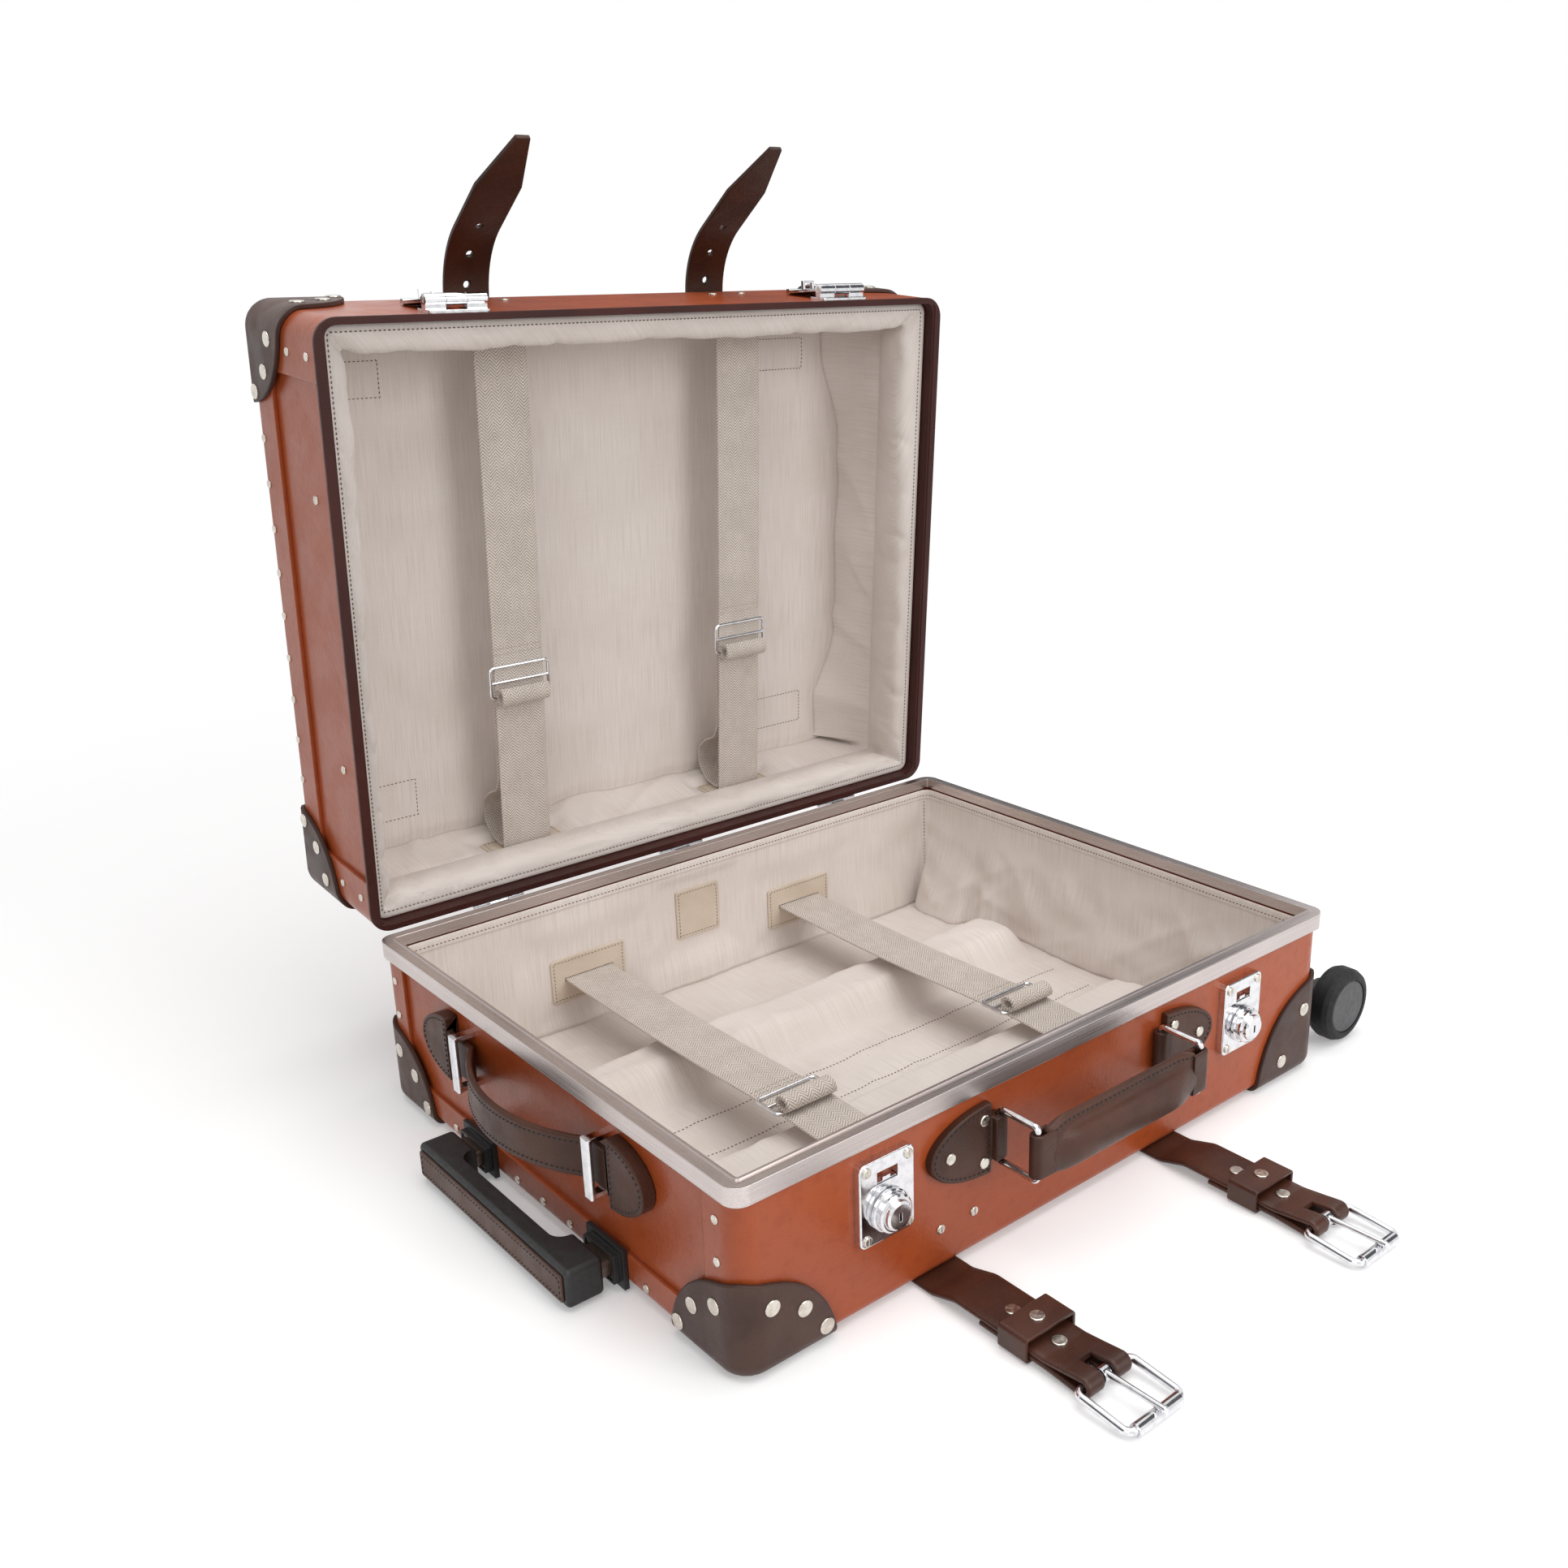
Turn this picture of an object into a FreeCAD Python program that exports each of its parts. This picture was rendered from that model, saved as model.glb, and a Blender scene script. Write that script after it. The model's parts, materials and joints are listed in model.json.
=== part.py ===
import FreeCAD, Part
import math
import os
import Sketcher

# Vintage style fibreboard carry-on trolley case, lying on its base with the lid open.
# X runs along the case (trolley grip at -X, wheels at +X), the front is at -Y, Z is up.
# Everything is drawn with the lid shut and the case centred; the lid is turned open at the end.

V = FreeCAD.Vector
AXES = {"X": V(1, 0, 0), "Y": V(0, 1, 0), "Z": V(0, 0, 1)}
SIDES = (-1, 1)

doc = FreeCAD.newDocument("Suitcase")
sheet = doc.addObject("Spreadsheet::Sheet", "Sizes")

# Driving dimensions in millimetres, degrees where named so.
DRIVING_SIZES = (
    ("case_length", 480.0),
    ("case_width", 385.0),
    ("case_depth", 214.5),
    ("rim_top", 112.8),
    ("lid_open_degrees", 86.0),
    ("board", 2.5),
    ("corner_radius", 14.0),
    ("edge_radius", 6.0),
    ("base_flap_width", 28.0),
    ("base_strip_height", 20.0),
    ("lid_flap_width", 36.0),
    ("lid_strip_height", 28.0),
    ("corner_leather", 3.0),
    ("corner_reach", 62.0),
    ("corner_rise", 58.0),
    ("wheel_corner_reach", 68.0),
    ("wheel_corner_rise", 70.0),
    ("rim_corner_radius", 8.1),
    ("rim_proud", 1.5),
    ("rim_wall", 1.8),
    ("rim_inset", 5.2),
    ("rim_tongue", 0.8),
    ("rim_outer_height", 10.8),
    ("rim_inner_height", 7.4),
    ("lid_rim_proud", 0.3),
    ("lid_rim_lip", 2.0),
    ("lid_rim_shown", 4.9),
    ("lid_rim_wall", 1.4),
    ("lid_rim_corner", 9.0),
    ("lid_hem_seat", 0.8),
    ("lid_rim_height", 14.0),
    ("fit_gap", 0.3),
    ("running_gap", 0.05),
    ("lining", 2.0),
    ("lid_roll_setback", 10.0),
    ("lid_roll_width", 10.0),
    ("lid_roll_height", 24.0),
    ("lid_roll_radius", 8.0),
    ("strap_spacing", 190.0),
    ("hinge_spacing", 150.0),
    ("hinge_width", 38.0),
    ("hinge_back", 4.4),
    ("hinge_drop", 7.2),
    ("hinge_knuckle", 2.8),
    ("hinge_pin", 1.5),
    ("hinge_leaf", 1.6),
    ("lid_leaf_standoff", 1.0),
    ("rivet_radius", 4.6),
    ("small_rivet_radius", 2.6),
    ("screw_radius", 2.8),
    ("lock_spacing", 298.0),
    ("lock_width", 37.0),
    ("lock_height", 49.0),
    ("lock_centre_height", 70.0),
    ("lock_plate", 5.0),
    ("lock_slot_width", 14.0),
    ("lock_slot_height", 7.0),
    ("lock_slot_rise", 13.5),
    ("lock_barrel_drop", 6.5),
    ("lock_barrel_radius", 12.0),
    ("hasp_width", 40.0),
    ("hasp_flap_width", 27.0),
    ("hasp_length", 46.0),
    ("hasp_plate", 2.0),
    ("hasp_axis_rise", 7.5),
    ("hasp_axis_offset", 7.5),
    ("hasp_knuckle", 3.6),
    ("carry_height", 73.5),
    ("carry_ring_spacing", 137.0),
    ("carry_wire", 2.0),
    ("carry_ring_height", 32.0),
    ("carry_ring_length", 28.7),
    ("carry_tab_length", 50.0),
    ("carry_tab_height", 43.0),
    ("carry_tab_leather", 5.0),
    ("carry_grip_height", 34.0),
    ("carry_grip_thickness", 13.0),
    ("side_height", 73.0),
    ("side_loop_spacing", 150.0),
    ("side_loop_height", 36.0),
    ("side_loop_width", 8.0),
    ("side_strap_width", 24.0),
    ("side_strap_leather", 4.0),
    ("side_bow", 21.5),
    ("side_tab_length", 34.0),
    ("side_tab_height", 42.0),
    ("trolley_spacing", 144.0),
    ("channel_width", 28.0),
    ("channel_height", 16.0),
    ("channel_length", 435.0),
    ("tube_wall", 1.2),
    ("tube_gap", 0.2),
    ("bezel_width", 37.0),
    ("bezel_height", 24.0),
    ("bezel_plate", 3.0),
    ("bezel_collar", 4.0),
    ("grip_length", 172.0),
    ("grip_height", 23.0),
    ("grip_depth", 22.5),
    ("grip_bar", 11.5),
    ("grip_leg", 29.0),
    ("grip_gap", 5.0),
    ("grip_leather", 1.5),
    ("release_length", 50.0),
    ("release_height", 10.0),
    ("release_travel", 2.5),
    ("wheel_radius", 26.0),
    ("wheel_width", 18.0),
    ("wheel_overhang", 42.0),
    ("wheel_axis_height", 27.0),
    ("wheel_hub_radius", 19.0),
    ("axle_radius", 4.0),
    ("strap_width", 32.0),
    ("strap_leather", 3.0),
    ("under_strap_shift", -13.0),
    ("buckle_reach", 116.5),
    ("buckle_length", 34.0),
    ("buckle_side_room", 4.0),
    ("buckle_wire", 2.25),
    ("roller_radius", 3.6),
    ("tongue_radius", 58.0),
    ("tongue_sweep_degrees", 50.0),
    ("tongue_length", 135.0),
    ("webbing", 1.6),
    ("webbing_width", 38.0),
    ("base_webbing_height", 43.0),
    ("lid_webbing_depth", 40.0),
    ("slide_wire", 1.3),
    ("slide_length", 22.0),
    ("patch_leather", 1.5),
    ("patch_width", 60.0),
    ("patch_height", 33.0),
)


class Dim:
    """A size that carries both its value and its formula on the sheet."""

    def __init__(self, value, text):
        self.value = value
        self.text = text

    def __float__(self):
        return self.value

    def __neg__(self):
        return Dim(-self.value, "(-1 * %s)" % self.text)

    def __add__(self, other):
        other = dim(other)
        return Dim(self.value + other.value, "(%s + %s)" % (self.text, other.text))

    def __radd__(self, other):
        return dim(other) + self

    def __sub__(self, other):
        other = dim(other)
        return Dim(self.value - other.value, "(%s - %s)" % (self.text, other.text))

    def __rsub__(self, other):
        return dim(other) - self

    def __mul__(self, factor):
        factor = dim(factor)
        return Dim(self.value * factor.value, "(%s * %s)" % (self.text, factor.text))

    def __rmul__(self, factor):
        return self * factor

    def __truediv__(self, divisor):
        divisor = dim(divisor)
        return Dim(self.value / divisor.value, "(%s / %s)" % (self.text, divisor.text))


def dim(size):
    """Turn a plain number into a Dim; leave a Dim as it is."""
    if isinstance(size, Dim):
        return size
    return Dim(float(size), "%.6f" % size)


class SheetSizes:
    """The sheet's sizes as attributes, one Dim for each alias."""


s = SheetSizes()
for row, (alias, number) in enumerate(DRIVING_SIZES, start=1):
    sheet.set("A%d" % row, alias)
    sheet.set("B%d" % row, str(number))
    sheet.setAlias("B%d" % row, alias)
doc.recompute()
for alias, number in DRIVING_SIZES:
    setattr(s, alias, Dim(float(sheet.get(alias)), "Sizes." + alias))


# Small construction helpers

def bind(obj, sizes):
    """Bind each named property of an object to its formula on the sheet."""
    for name, size in sizes.items():
        obj.setExpression(name, dim(size).text)
    return obj


def block(x0, x1, y0, y1, z0, z1):
    """A box between two planes on each axis."""
    x0, x1, y0, y1, z0, z1 = (dim(edge) for edge in (x0, x1, y0, y1, z0, z1))
    box = doc.addObject("Part::Box", "Block")
    bind(box, {"Length": x1 - x0, "Width": y1 - y0, "Height": z1 - z0})
    bind(box, {"Placement.Base.x": x0, "Placement.Base.y": y0, "Placement.Base.z": z0})
    return box


def rod(axis, radius, length, x, y, z):
    """A cylinder from a start point along one axis."""
    cylinder = doc.addObject("Part::Cylinder", "Rod")
    cylinder.Placement = FreeCAD.Placement(V(), FreeCAD.Rotation(AXES["Z"], AXES[axis]))
    bind(cylinder, {"Radius": radius, "Height": length})
    bind(cylinder, {"Placement.Base.x": x, "Placement.Base.y": y, "Placement.Base.z": z})
    return cylinder


def fuse(*pieces):
    """Join pieces into one."""
    if len(pieces) == 1:
        return pieces[0]
    joined = doc.addObject("Part::MultiFuse", "Joined")
    joined.Shapes = list(pieces)
    joined.Refine = True
    return joined


def cut(base, *tools):
    """Take the tools away from the base."""
    difference = doc.addObject("Part::Cut", "Cut")
    difference.Base = base
    difference.Tool = fuse(*tools)
    return difference


def group(*pieces):
    """Separate like pieces that share one node."""
    compound = doc.addObject("Part::Compound", "Group")
    compound.Links = list(pieces)
    return compound


def solid(shape):
    """A piece whose shape comes straight from geometry functions."""
    feature = doc.addObject("Part::Feature", "Formed")
    feature.Shape = shape
    return feature


def rounded(obj, *choices):
    """Round the edges that each (chooser, radius) pair picks."""
    doc.recompute()
    edges = []
    for index, edge in enumerate(obj.Shape.Edges, start=1):
        for chooser, radius in choices:
            if chooser(edge):
                edges.append((index, float(radius), float(radius)))
                break
    fillet = doc.addObject("Part::Fillet", "Rounded")
    fillet.Base = obj
    fillet.Edges = edges
    return fillet


def along(axis):
    """Choose straight edges that run along an axis."""
    direction = AXES[axis]

    def chooser(edge):
        ends = edge.Vertexes
        if len(ends) != 2 or not isinstance(edge.Curve, Part.Line):
            return False
        run = ends[1].Point - ends[0].Point
        return abs(run.dot(direction)) > 0.999 * run.Length
    return chooser


def at_height(level):
    """Choose edges that lie wholly at one height."""
    def chooser(edge):
        return all(abs(vertex.Z - float(level)) < 1e-6 for vertex in edge.Vertexes)
    return chooser


def every_edge(edge):
    """Choose all edges."""
    return True


def tray_block(offset, z0, z1, floor_radius=None, roof_radius=None, corner=None):
    """A block of the case's outline grown by an offset, with rounded uprights."""
    corner = s.corner_radius if corner is None else corner
    box = block(-half_length - offset, half_length + offset,
                -half_width - offset, half_width + offset, z0, z1)
    choices = [(along("Z"), max(float(corner + offset), 1.0))]
    if floor_radius is not None:
        choices.append((at_height(z0), floor_radius))
    if roof_radius is not None:
        choices.append((at_height(z1), roof_radius))
    return rounded(box, *choices)


def ring_band(outer, inner, z0, z1, corner=None):
    """A band round the case between two offsets of its outline."""
    return cut(tray_block(outer, z0, z1, corner=corner), tray_block(inner, z0 - 1, z1 + 1, corner=corner))


def band(points, thickness, x, width):
    """A flat strap: a centre line in the YZ plane given thickness and swept along X."""
    left, right = [], []
    half = float(thickness) / 2
    for index, (y, z) in enumerate(points):
        before = points[max(index - 1, 0)]
        after = points[min(index + 1, len(points) - 1)]
        run = V(0, after[0] - before[0], after[1] - before[1]).normalize()
        side = V(0, -run.z, run.y)
        left.append(V(0, y, z) + side * half)
        right.append(V(0, y, z) - side * half)
    outline = left + right[::-1]
    face = Part.Face(Part.makePolygon(outline + outline[:1]))
    return face.extrude(V(float(width), 0, 0)).translated(V(float(x) - float(width) / 2, 0, 0))


def wire_loop(corners, bend, radius):
    """A closed loop of round wire through four corners with bent corners."""
    path = []
    count = len(corners)
    ends = []
    for index, corner in enumerate(corners):
        back = (corners[index - 1] - corner).normalize()
        ahead = (corners[(index + 1) % count] - corner).normalize()
        start, end = corner + back * bend, corner + ahead * bend
        centre = corner + (back + ahead) * bend
        middle = centre + (corner - centre).normalize() * bend
        ends.append((start, middle, end))
    for index, (start, middle, end) in enumerate(ends):
        path.append(Part.Arc(start, middle, end).toShape())
        path.append(Part.LineSegment(end, ends[(index + 1) % count][0]).toShape())
    spine = Part.Wire(path)
    first = path[0].valueAt(path[0].FirstParameter)
    tangent = path[0].tangentAt(path[0].FirstParameter)
    profile = Part.Wire([Part.makeCircle(radius, first, tangent)])
    return spine.makePipeShell([profile], True, False)


def rivet(radius, height, place, normal):
    """A low headed rivet or screw head standing on a surface."""
    radius, height = float(radius), float(height)
    head = Part.makeCylinder(radius, height, place, normal)
    rim = [edge for edge in head.Edges
           if isinstance(edge.Curve, Part.Circle) and edge.CenterOfMass.distanceToPoint(place) > height / 2]
    return head.makeFillet(height * 0.6, rim)


def half_ellipse(length, height):
    """A flat tab outline in the XY plane: straight at X 0, rounded to a tip at X length."""
    curve = Part.Ellipse(V(0, 0, 0), length, height / 2) if length > height / 2 else \
        Part.Ellipse(V(0, height / 2, 0), V(-length, 0, 0), V())
    arc = Part.ArcOfEllipse(curve, -math.pi / 2, math.pi / 2).toShape()
    flat = Part.makeLine(arc.lastVertex().Point, arc.firstVertex().Point)
    return Part.Face(Part.Wire([arc, flat]))


def sketch_on(body, role):
    """A new sketch on one of a body's own origin planes."""
    plane = [plane for plane in body.Origin.OriginFeatures if plane.Role == role][0]
    sketch = body.newObject("Sketcher::SketchObject", "Profile")
    sketch.AttachmentSupport = (plane, [""])
    sketch.MapMode = "FlatFace"
    return sketch


def pin_coordinate(sketch, kind, axis_line, vertex, size):
    """Fix one coordinate of a sketch vertex to a size on the sheet."""
    if size.value == 0.0:
        sketch.addConstraint(Sketcher.Constraint("PointOnObject", vertex, 1, axis_line))
        return
    index = sketch.addConstraint(Sketcher.Constraint(kind, -1, 1, vertex, 1, size.value))
    sketch.setExpression("Constraints[%d]" % index, size.text)


def closed_profile(sketch, points):
    """A closed polygon whose corners are bound to the sheet."""
    points = [(dim(u), dim(w)) for u, w in points]
    count = len(points)
    for index, (u, w) in enumerate(points):
        u_next, w_next = points[(index + 1) % count]
        start, end = V(u.value, w.value, 0), V(u_next.value, w_next.value, 0)
        sketch.addGeometry(Part.LineSegment(start, end), False)
    for index in range(count):
        sketch.addConstraint(Sketcher.Constraint("Coincident", index, 2, (index + 1) % count, 1))
    for index, (u, w) in enumerate(points):
        pin_coordinate(sketch, "DistanceX", -2, index, u)
        pin_coordinate(sketch, "DistanceY", -1, index, w)


def turned_body(name, profile):
    """A body turned about its own Z axis from (radius, height) points."""
    body = doc.addObject("PartDesign::Body", name)
    sketch = sketch_on(body, "XZ_Plane")
    closed_profile(sketch, profile)
    turning = body.newObject("PartDesign::Revolution", "Turning")
    turning.Profile = sketch
    turning.ReferenceAxis = (sketch, ["V_Axis"])
    turning.Angle = 360.0
    doc.recompute()
    return body


def padded_body(name, outline, thickness):
    """A flat plate body in its own XY plane from a bound outline."""
    body = doc.addObject("PartDesign::Body", name)
    sketch = sketch_on(body, "XY_Plane")
    closed_profile(sketch, outline)
    plate = body.newObject("PartDesign::Pad", "Plate")
    plate.Profile = sketch
    bind(plate, {"Length": thickness})
    doc.recompute()
    return body


# Shared places, worked out from the driving sizes

half_length = s.case_length / 2
half_width = s.case_width / 2
floor_board = s.corner_leather
inside_floor = floor_board + s.board
ledge = s.rim_top - s.rim_tongue
wall_top = ledge - s.rim_wall - 0.2
lid_edge = ledge + s.fit_gap
lid_board_top = s.case_depth - s.corner_leather
lid_wall_bottom = lid_edge + s.lid_rim_lip
lining_side = half_width - s.board - s.fit_gap
lining_end = half_length - 2 * s.board - s.fit_gap
lining_face = lining_side - s.lining
base_lining_top = s.rim_top - s.rim_inner_height - s.fit_gap
lid_lining_bottom = lid_edge + s.lid_rim_height + s.fit_gap
binding_inside = -s.rim_inset - s.rim_wall
binding_end = half_length - 2 * s.board - 0.1
binding_side = half_width - s.board - 0.1
panel_half_width = half_width - s.corner_radius - 0.2
front = -half_width
strap_x = s.strap_spacing / 2
tube_y = s.trolley_spacing / 2
tube_z = inside_floor + s.channel_height / 2
hinge_y = half_width + s.hinge_back
hinge_z = s.rim_top - s.hinge_drop
lock_x = s.lock_spacing / 2
slot_z = s.lock_centre_height + s.lock_slot_rise
barrel_z = s.lock_centre_height - s.lock_barrel_drop
hasp_y = front - s.hasp_axis_offset
hasp_z = lid_wall_bottom + s.hasp_axis_rise

nodes = []


def node(label, obj, moves_with_lid=False):
    """Register a finished sub-part under its plain name."""
    if obj.TypeId in ("Part::Box", "Part::Cylinder"):
        obj = group(obj)
    obj.Label = label
    nodes.append((label, obj, moves_with_lid))
    return obj


# Base boards: one sheet folded into bottom, front, rear and end flaps, and two end boards

def tube_ways(x0, x1, width, height):
    """Holes for both trolley tubes through the left end."""
    return [block(x0, x1, side * tube_y - width / 2, side * tube_y + width / 2,
                  tube_z - height / 2, tube_z + height / 2) for side in SIDES]


middle_width = s.channel_width - 2 * s.tube_wall - 2 * s.tube_gap
middle_height = s.channel_height - 2 * s.tube_wall - 2 * s.tube_gap
inner_width = middle_width - 2 * s.tube_wall - 2 * s.tube_gap
inner_height = middle_height - 2 * s.tube_wall - 2 * s.tube_gap
way_width = middle_width + 1.0
way_height = middle_height + 1.0


def end_windows(flap_width, z0, z1):
    """The openings between the flaps on both ends."""
    return [block(*sorted((side * (half_length - s.board - 1), side * (half_length + 1)), key=float),
                  -half_width + flap_width, half_width - flap_width, z0, z1) for side in SIDES]


base_hollow = tray_block(-s.board, inside_floor, wall_top + 1, floor_radius=s.edge_radius - s.board)
base_outside = tray_block(dim(0), floor_board, wall_top, floor_radius=s.edge_radius)
node("base_wrap", cut(base_outside, base_hollow,
                      *end_windows(s.base_flap_width, floor_board + s.base_strip_height, wall_top + 1),
                      *tube_ways(-half_length - 1, -half_length + s.board + 1, way_width, way_height)))


def end_board(side, z0, z1):
    """One end board lying behind the flaps."""
    x0, x1 = sorted((side * (half_length - 2 * s.board), side * (half_length - s.board)), key=float)
    return block(x0, x1, -panel_half_width, panel_half_width, z0, z1)


left_board = cut(end_board(-1, floor_board + s.edge_radius, wall_top),
                 *tube_ways(-half_length, -half_length + 3 * s.board, way_width, way_height))
node("base_end_panels", group(left_board, end_board(1, floor_board + s.edge_radius, wall_top)))

# Aluminium rim: a sharp-cornered channel over the boards, with a ledge for the lid and a low bead inside

rim_foot = ledge - s.rim_outer_height
rim_outer = ring_band(s.rim_proud, dim(0), rim_foot, ledge, s.rim_corner_radius)
rim_ledge = ring_band(s.rim_proud, -s.rim_inset - s.rim_wall, ledge - s.rim_wall, ledge, s.rim_corner_radius)
rim_tongue = ring_band(-s.rim_inset, -s.rim_inset - s.rim_wall, s.rim_top - s.rim_inner_height, s.rim_top,
                       s.rim_corner_radius)
node("base_rim", fuse(rim_outer, rim_ledge, rim_tongue))

# Leather corner caps: a shell of leather over the corner, trimmed to a curved outline


CAP_GAP = 0.1


def corner_outline(reach, rise):
    """Closed outline of a cap on one face, from the upright edge out to its reach."""
    margin = 20.0
    curve = Part.BSplineCurve()
    curve.interpolate([V(reach, -margin, 0), V(reach, 0, 0), V(0.9 * reach, 0.4 * rise, 0),
                       V(0.62 * reach, 0.76 * rise, 0), V(0.28 * reach, 0.93 * rise, 0),
                       V(0, rise, 0), V(-margin, rise, 0)])
    start, end = V(reach, -margin, 0), V(-margin, rise, 0)
    low = V(-margin, -margin, 0)
    return Part.Face(Part.Wire([curve.toShape(), Part.makeLine(end, low), Part.makeLine(low, start)]))


def corner_cap(reach, rise):
    """The cap at the +X +Y corner of the base."""
    reach, rise = float(reach), float(rise)
    leather = float(s.corner_leather)
    length, width = float(half_length), float(half_width)
    deep = 250.0
    outside = tray_block(s.corner_leather, dim(0), wall_top - 5,
                         floor_radius=s.edge_radius + s.corner_leather)
    inside = tray_block(dim(CAP_GAP), floor_board - CAP_GAP, wall_top,
                        floor_radius=s.edge_radius + CAP_GAP)
    doc.recompute()
    shell = outside.Shape.cut(inside.Shape)
    side = corner_outline(reach, rise).extrude(V(0, 0, deep))
    plan = corner_outline(reach, reach).extrude(V(0, 0, deep))
    corner = V(length + leather, width + leather, 0)
    facing_y = FreeCAD.Placement(corner, FreeCAD.Rotation(V(-1, 0, 0), V(0, 0, 1), V(0, 1, 0), "XYZ"))
    facing_x = FreeCAD.Placement(corner, FreeCAD.Rotation(V(0, -1, 0), V(0, 0, 1), V(-1, 0, 0), "XYZ"))
    facing_z = FreeCAD.Placement(corner, FreeCAD.Rotation(V(-1, 0, 0), V(0, -1, 0), V(0, 0, 1), "XYZ"))
    trims = []
    for prism, turn in ((side, facing_y), (side, facing_x), (plan, facing_z)):
        trim = prism.copy()
        trim.Placement = turn
        normal = turn.Rotation.multVec(V(0, 0, 1))
        trims.append(trim.translated(normal * (-deep / 2)))
    cap = shell
    for trim in trims:
        cap = cap.common(trim)
    return cap.Solids[0]


def mirrored(shape, axis, level=0.0):
    """The shape's mirror image across a plane square to an axis."""
    return shape.mirror(AXES[axis] * float(level), AXES[axis])


small_cap = corner_cap(s.corner_reach, s.corner_rise)
large_cap = corner_cap(s.wheel_corner_reach, s.wheel_corner_rise)
left_cap = mirrored(small_cap, "X")
base_caps = [left_cap, mirrored(left_cap, "Y"), large_cap, mirrored(large_cap, "Y")]
node("base_corners", solid(Part.makeCompound(base_caps)))
lid_plane = s.case_depth / 2
lid_caps = [mirrored(cap, "Z", lid_plane) for cap in
            (small_cap, mirrored(small_cap, "Y"), left_cap, mirrored(left_cap, "Y"))]
node("lid_corners", solid(Part.makeCompound(lid_caps)), moves_with_lid=True)

# Rivets: broad flat heads on the leather corners, small heads along flaps and strips

small_cap_rivets = ((0.28, 0.63), (0.60, 0.45), (0.82, 0.15))
large_cap_rivets = ((0.27, 0.63), (0.59, 0.19))
RIVET_HEAD = 0.9


def cap_rivets(sx, sy, reach, rise, places, end_places):
    """Rivets of one corner cap on its long face, and the first few on its end face."""
    heads = []
    for index, (across, up) in enumerate(places):
        z = float(rise) * up + float(s.corner_leather)
        x = sx * (float(half_length) - float(reach) * across)
        y = sy * (float(half_width) - float(reach) * across)
        face_y = sy * float(half_width + s.corner_leather)
        face_x = sx * float(half_length + s.corner_leather)
        heads.append(rivet(s.rivet_radius, RIVET_HEAD, V(x, face_y, z), V(0, sy, 0)))
        if index < end_places:
            heads.append(rivet(s.rivet_radius, RIVET_HEAD, V(face_x, y, z), V(sx, 0, 0)))
    return heads


base_rivets = []
lid_rivets = []
for sy in SIDES:
    base_rivets += cap_rivets(-1, sy, s.corner_reach, s.corner_rise, small_cap_rivets, 3)
    base_rivets += cap_rivets(1, sy, s.wheel_corner_reach, s.wheel_corner_rise, large_cap_rivets, 1)
    for sx in SIDES:
        heads = cap_rivets(sx, sy, s.corner_reach, s.corner_rise, small_cap_rivets, 3)
        lid_rivets += [mirrored(head, "Z", lid_plane) for head in heads]

BASE_STRIP_PITCH = 30.0
BEZEL_TO_CAP = 13.0 / 30.0
WHEEL_CAP_GAP = 14.5
bezel_edge = float(tube_y + s.bezel_width / 2)
base_strip_end = {
    -1: bezel_edge + BEZEL_TO_CAP * (float(half_width - s.corner_reach) - bezel_edge),
    1: float(half_width - s.wheel_corner_reach) - WHEEL_CAP_GAP,
}
LID_STRIP_RIVETS = 9
LID_CAP_GAP = 17.5
lid_strip_end = float(half_width - s.corner_reach) - LID_CAP_GAP
FLAP_RIVET_STEP = 24.0
LID_FLAP_STEPS = (13.0, 41.0)
LID_STRIP_INSET = 7.0
for sx in SIDES:
    end = sx * float(half_length)
    out = V(sx, 0, 0)
    strip_z = float(floor_board + s.base_strip_height * 0.4)
    flap_y = float(half_width - s.base_flap_width * 0.6)
    row_end = base_strip_end[sx]
    for y in (-row_end, -BASE_STRIP_PITCH, 0.0, BASE_STRIP_PITCH, row_end):
        base_rivets.append(rivet(s.small_rivet_radius, RIVET_HEAD, V(end, y, strip_z), out))
    for sy in SIDES:
        if sx < 0:
            for step in (1, 2):
                place = V(end, sy * flap_y, float(ledge) - step * FLAP_RIVET_STEP)
                base_rivets.append(rivet(s.small_rivet_radius, RIVET_HEAD, place, out))
    lid_strip_z = float(lid_board_top) - LID_STRIP_INSET
    lid_flap_y = float(half_width - s.lid_flap_width * 0.62)
    for step in range(LID_STRIP_RIVETS):
        y = lid_strip_end * (2 * step / (LID_STRIP_RIVETS - 1) - 1)
        lid_rivets.append(rivet(s.small_rivet_radius, RIVET_HEAD, V(end, y, lid_strip_z), out))
    for sy in SIDES:
        for rise in LID_FLAP_STEPS:
            place = V(end, sy * lid_flap_y, float(lid_edge) + rise)
            lid_rivets.append(rivet(s.small_rivet_radius, RIVET_HEAD, place, out))
node("base_rivets", solid(Part.makeCompound(base_rivets)))
node("lid_rivets", solid(Part.makeCompound(lid_rivets)), moves_with_lid=True)

# Cotton linings: thin trays inside the boards, the base one humped over the trolley channels,
# the lid one with a padded roll round its mouth


def lining_tray(z0, z1, open_end, floor_radius, roof_radius):
    """An open tray of lining between two heights, open at the named end."""
    def shape(inset, low, high):
        box = block(-lining_end + inset, lining_end - inset, -lining_side + inset, lining_side - inset,
                    low, high)
        choices = [(along("Z"), float(s.corner_radius - s.board - inset))]
        if floor_radius:
            choices.append((at_height(low), floor_radius - float(inset)))
        if roof_radius:
            choices.append((at_height(high), roof_radius - float(inset)))
        return rounded(box, *choices)
    low = z0 + s.lining if open_end == "top" else z0 - 1
    high = z1 - s.lining if open_end == "bottom" else z1 + 1
    return shape(dim(0), z0, z1), shape(s.lining, low, high)


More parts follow.
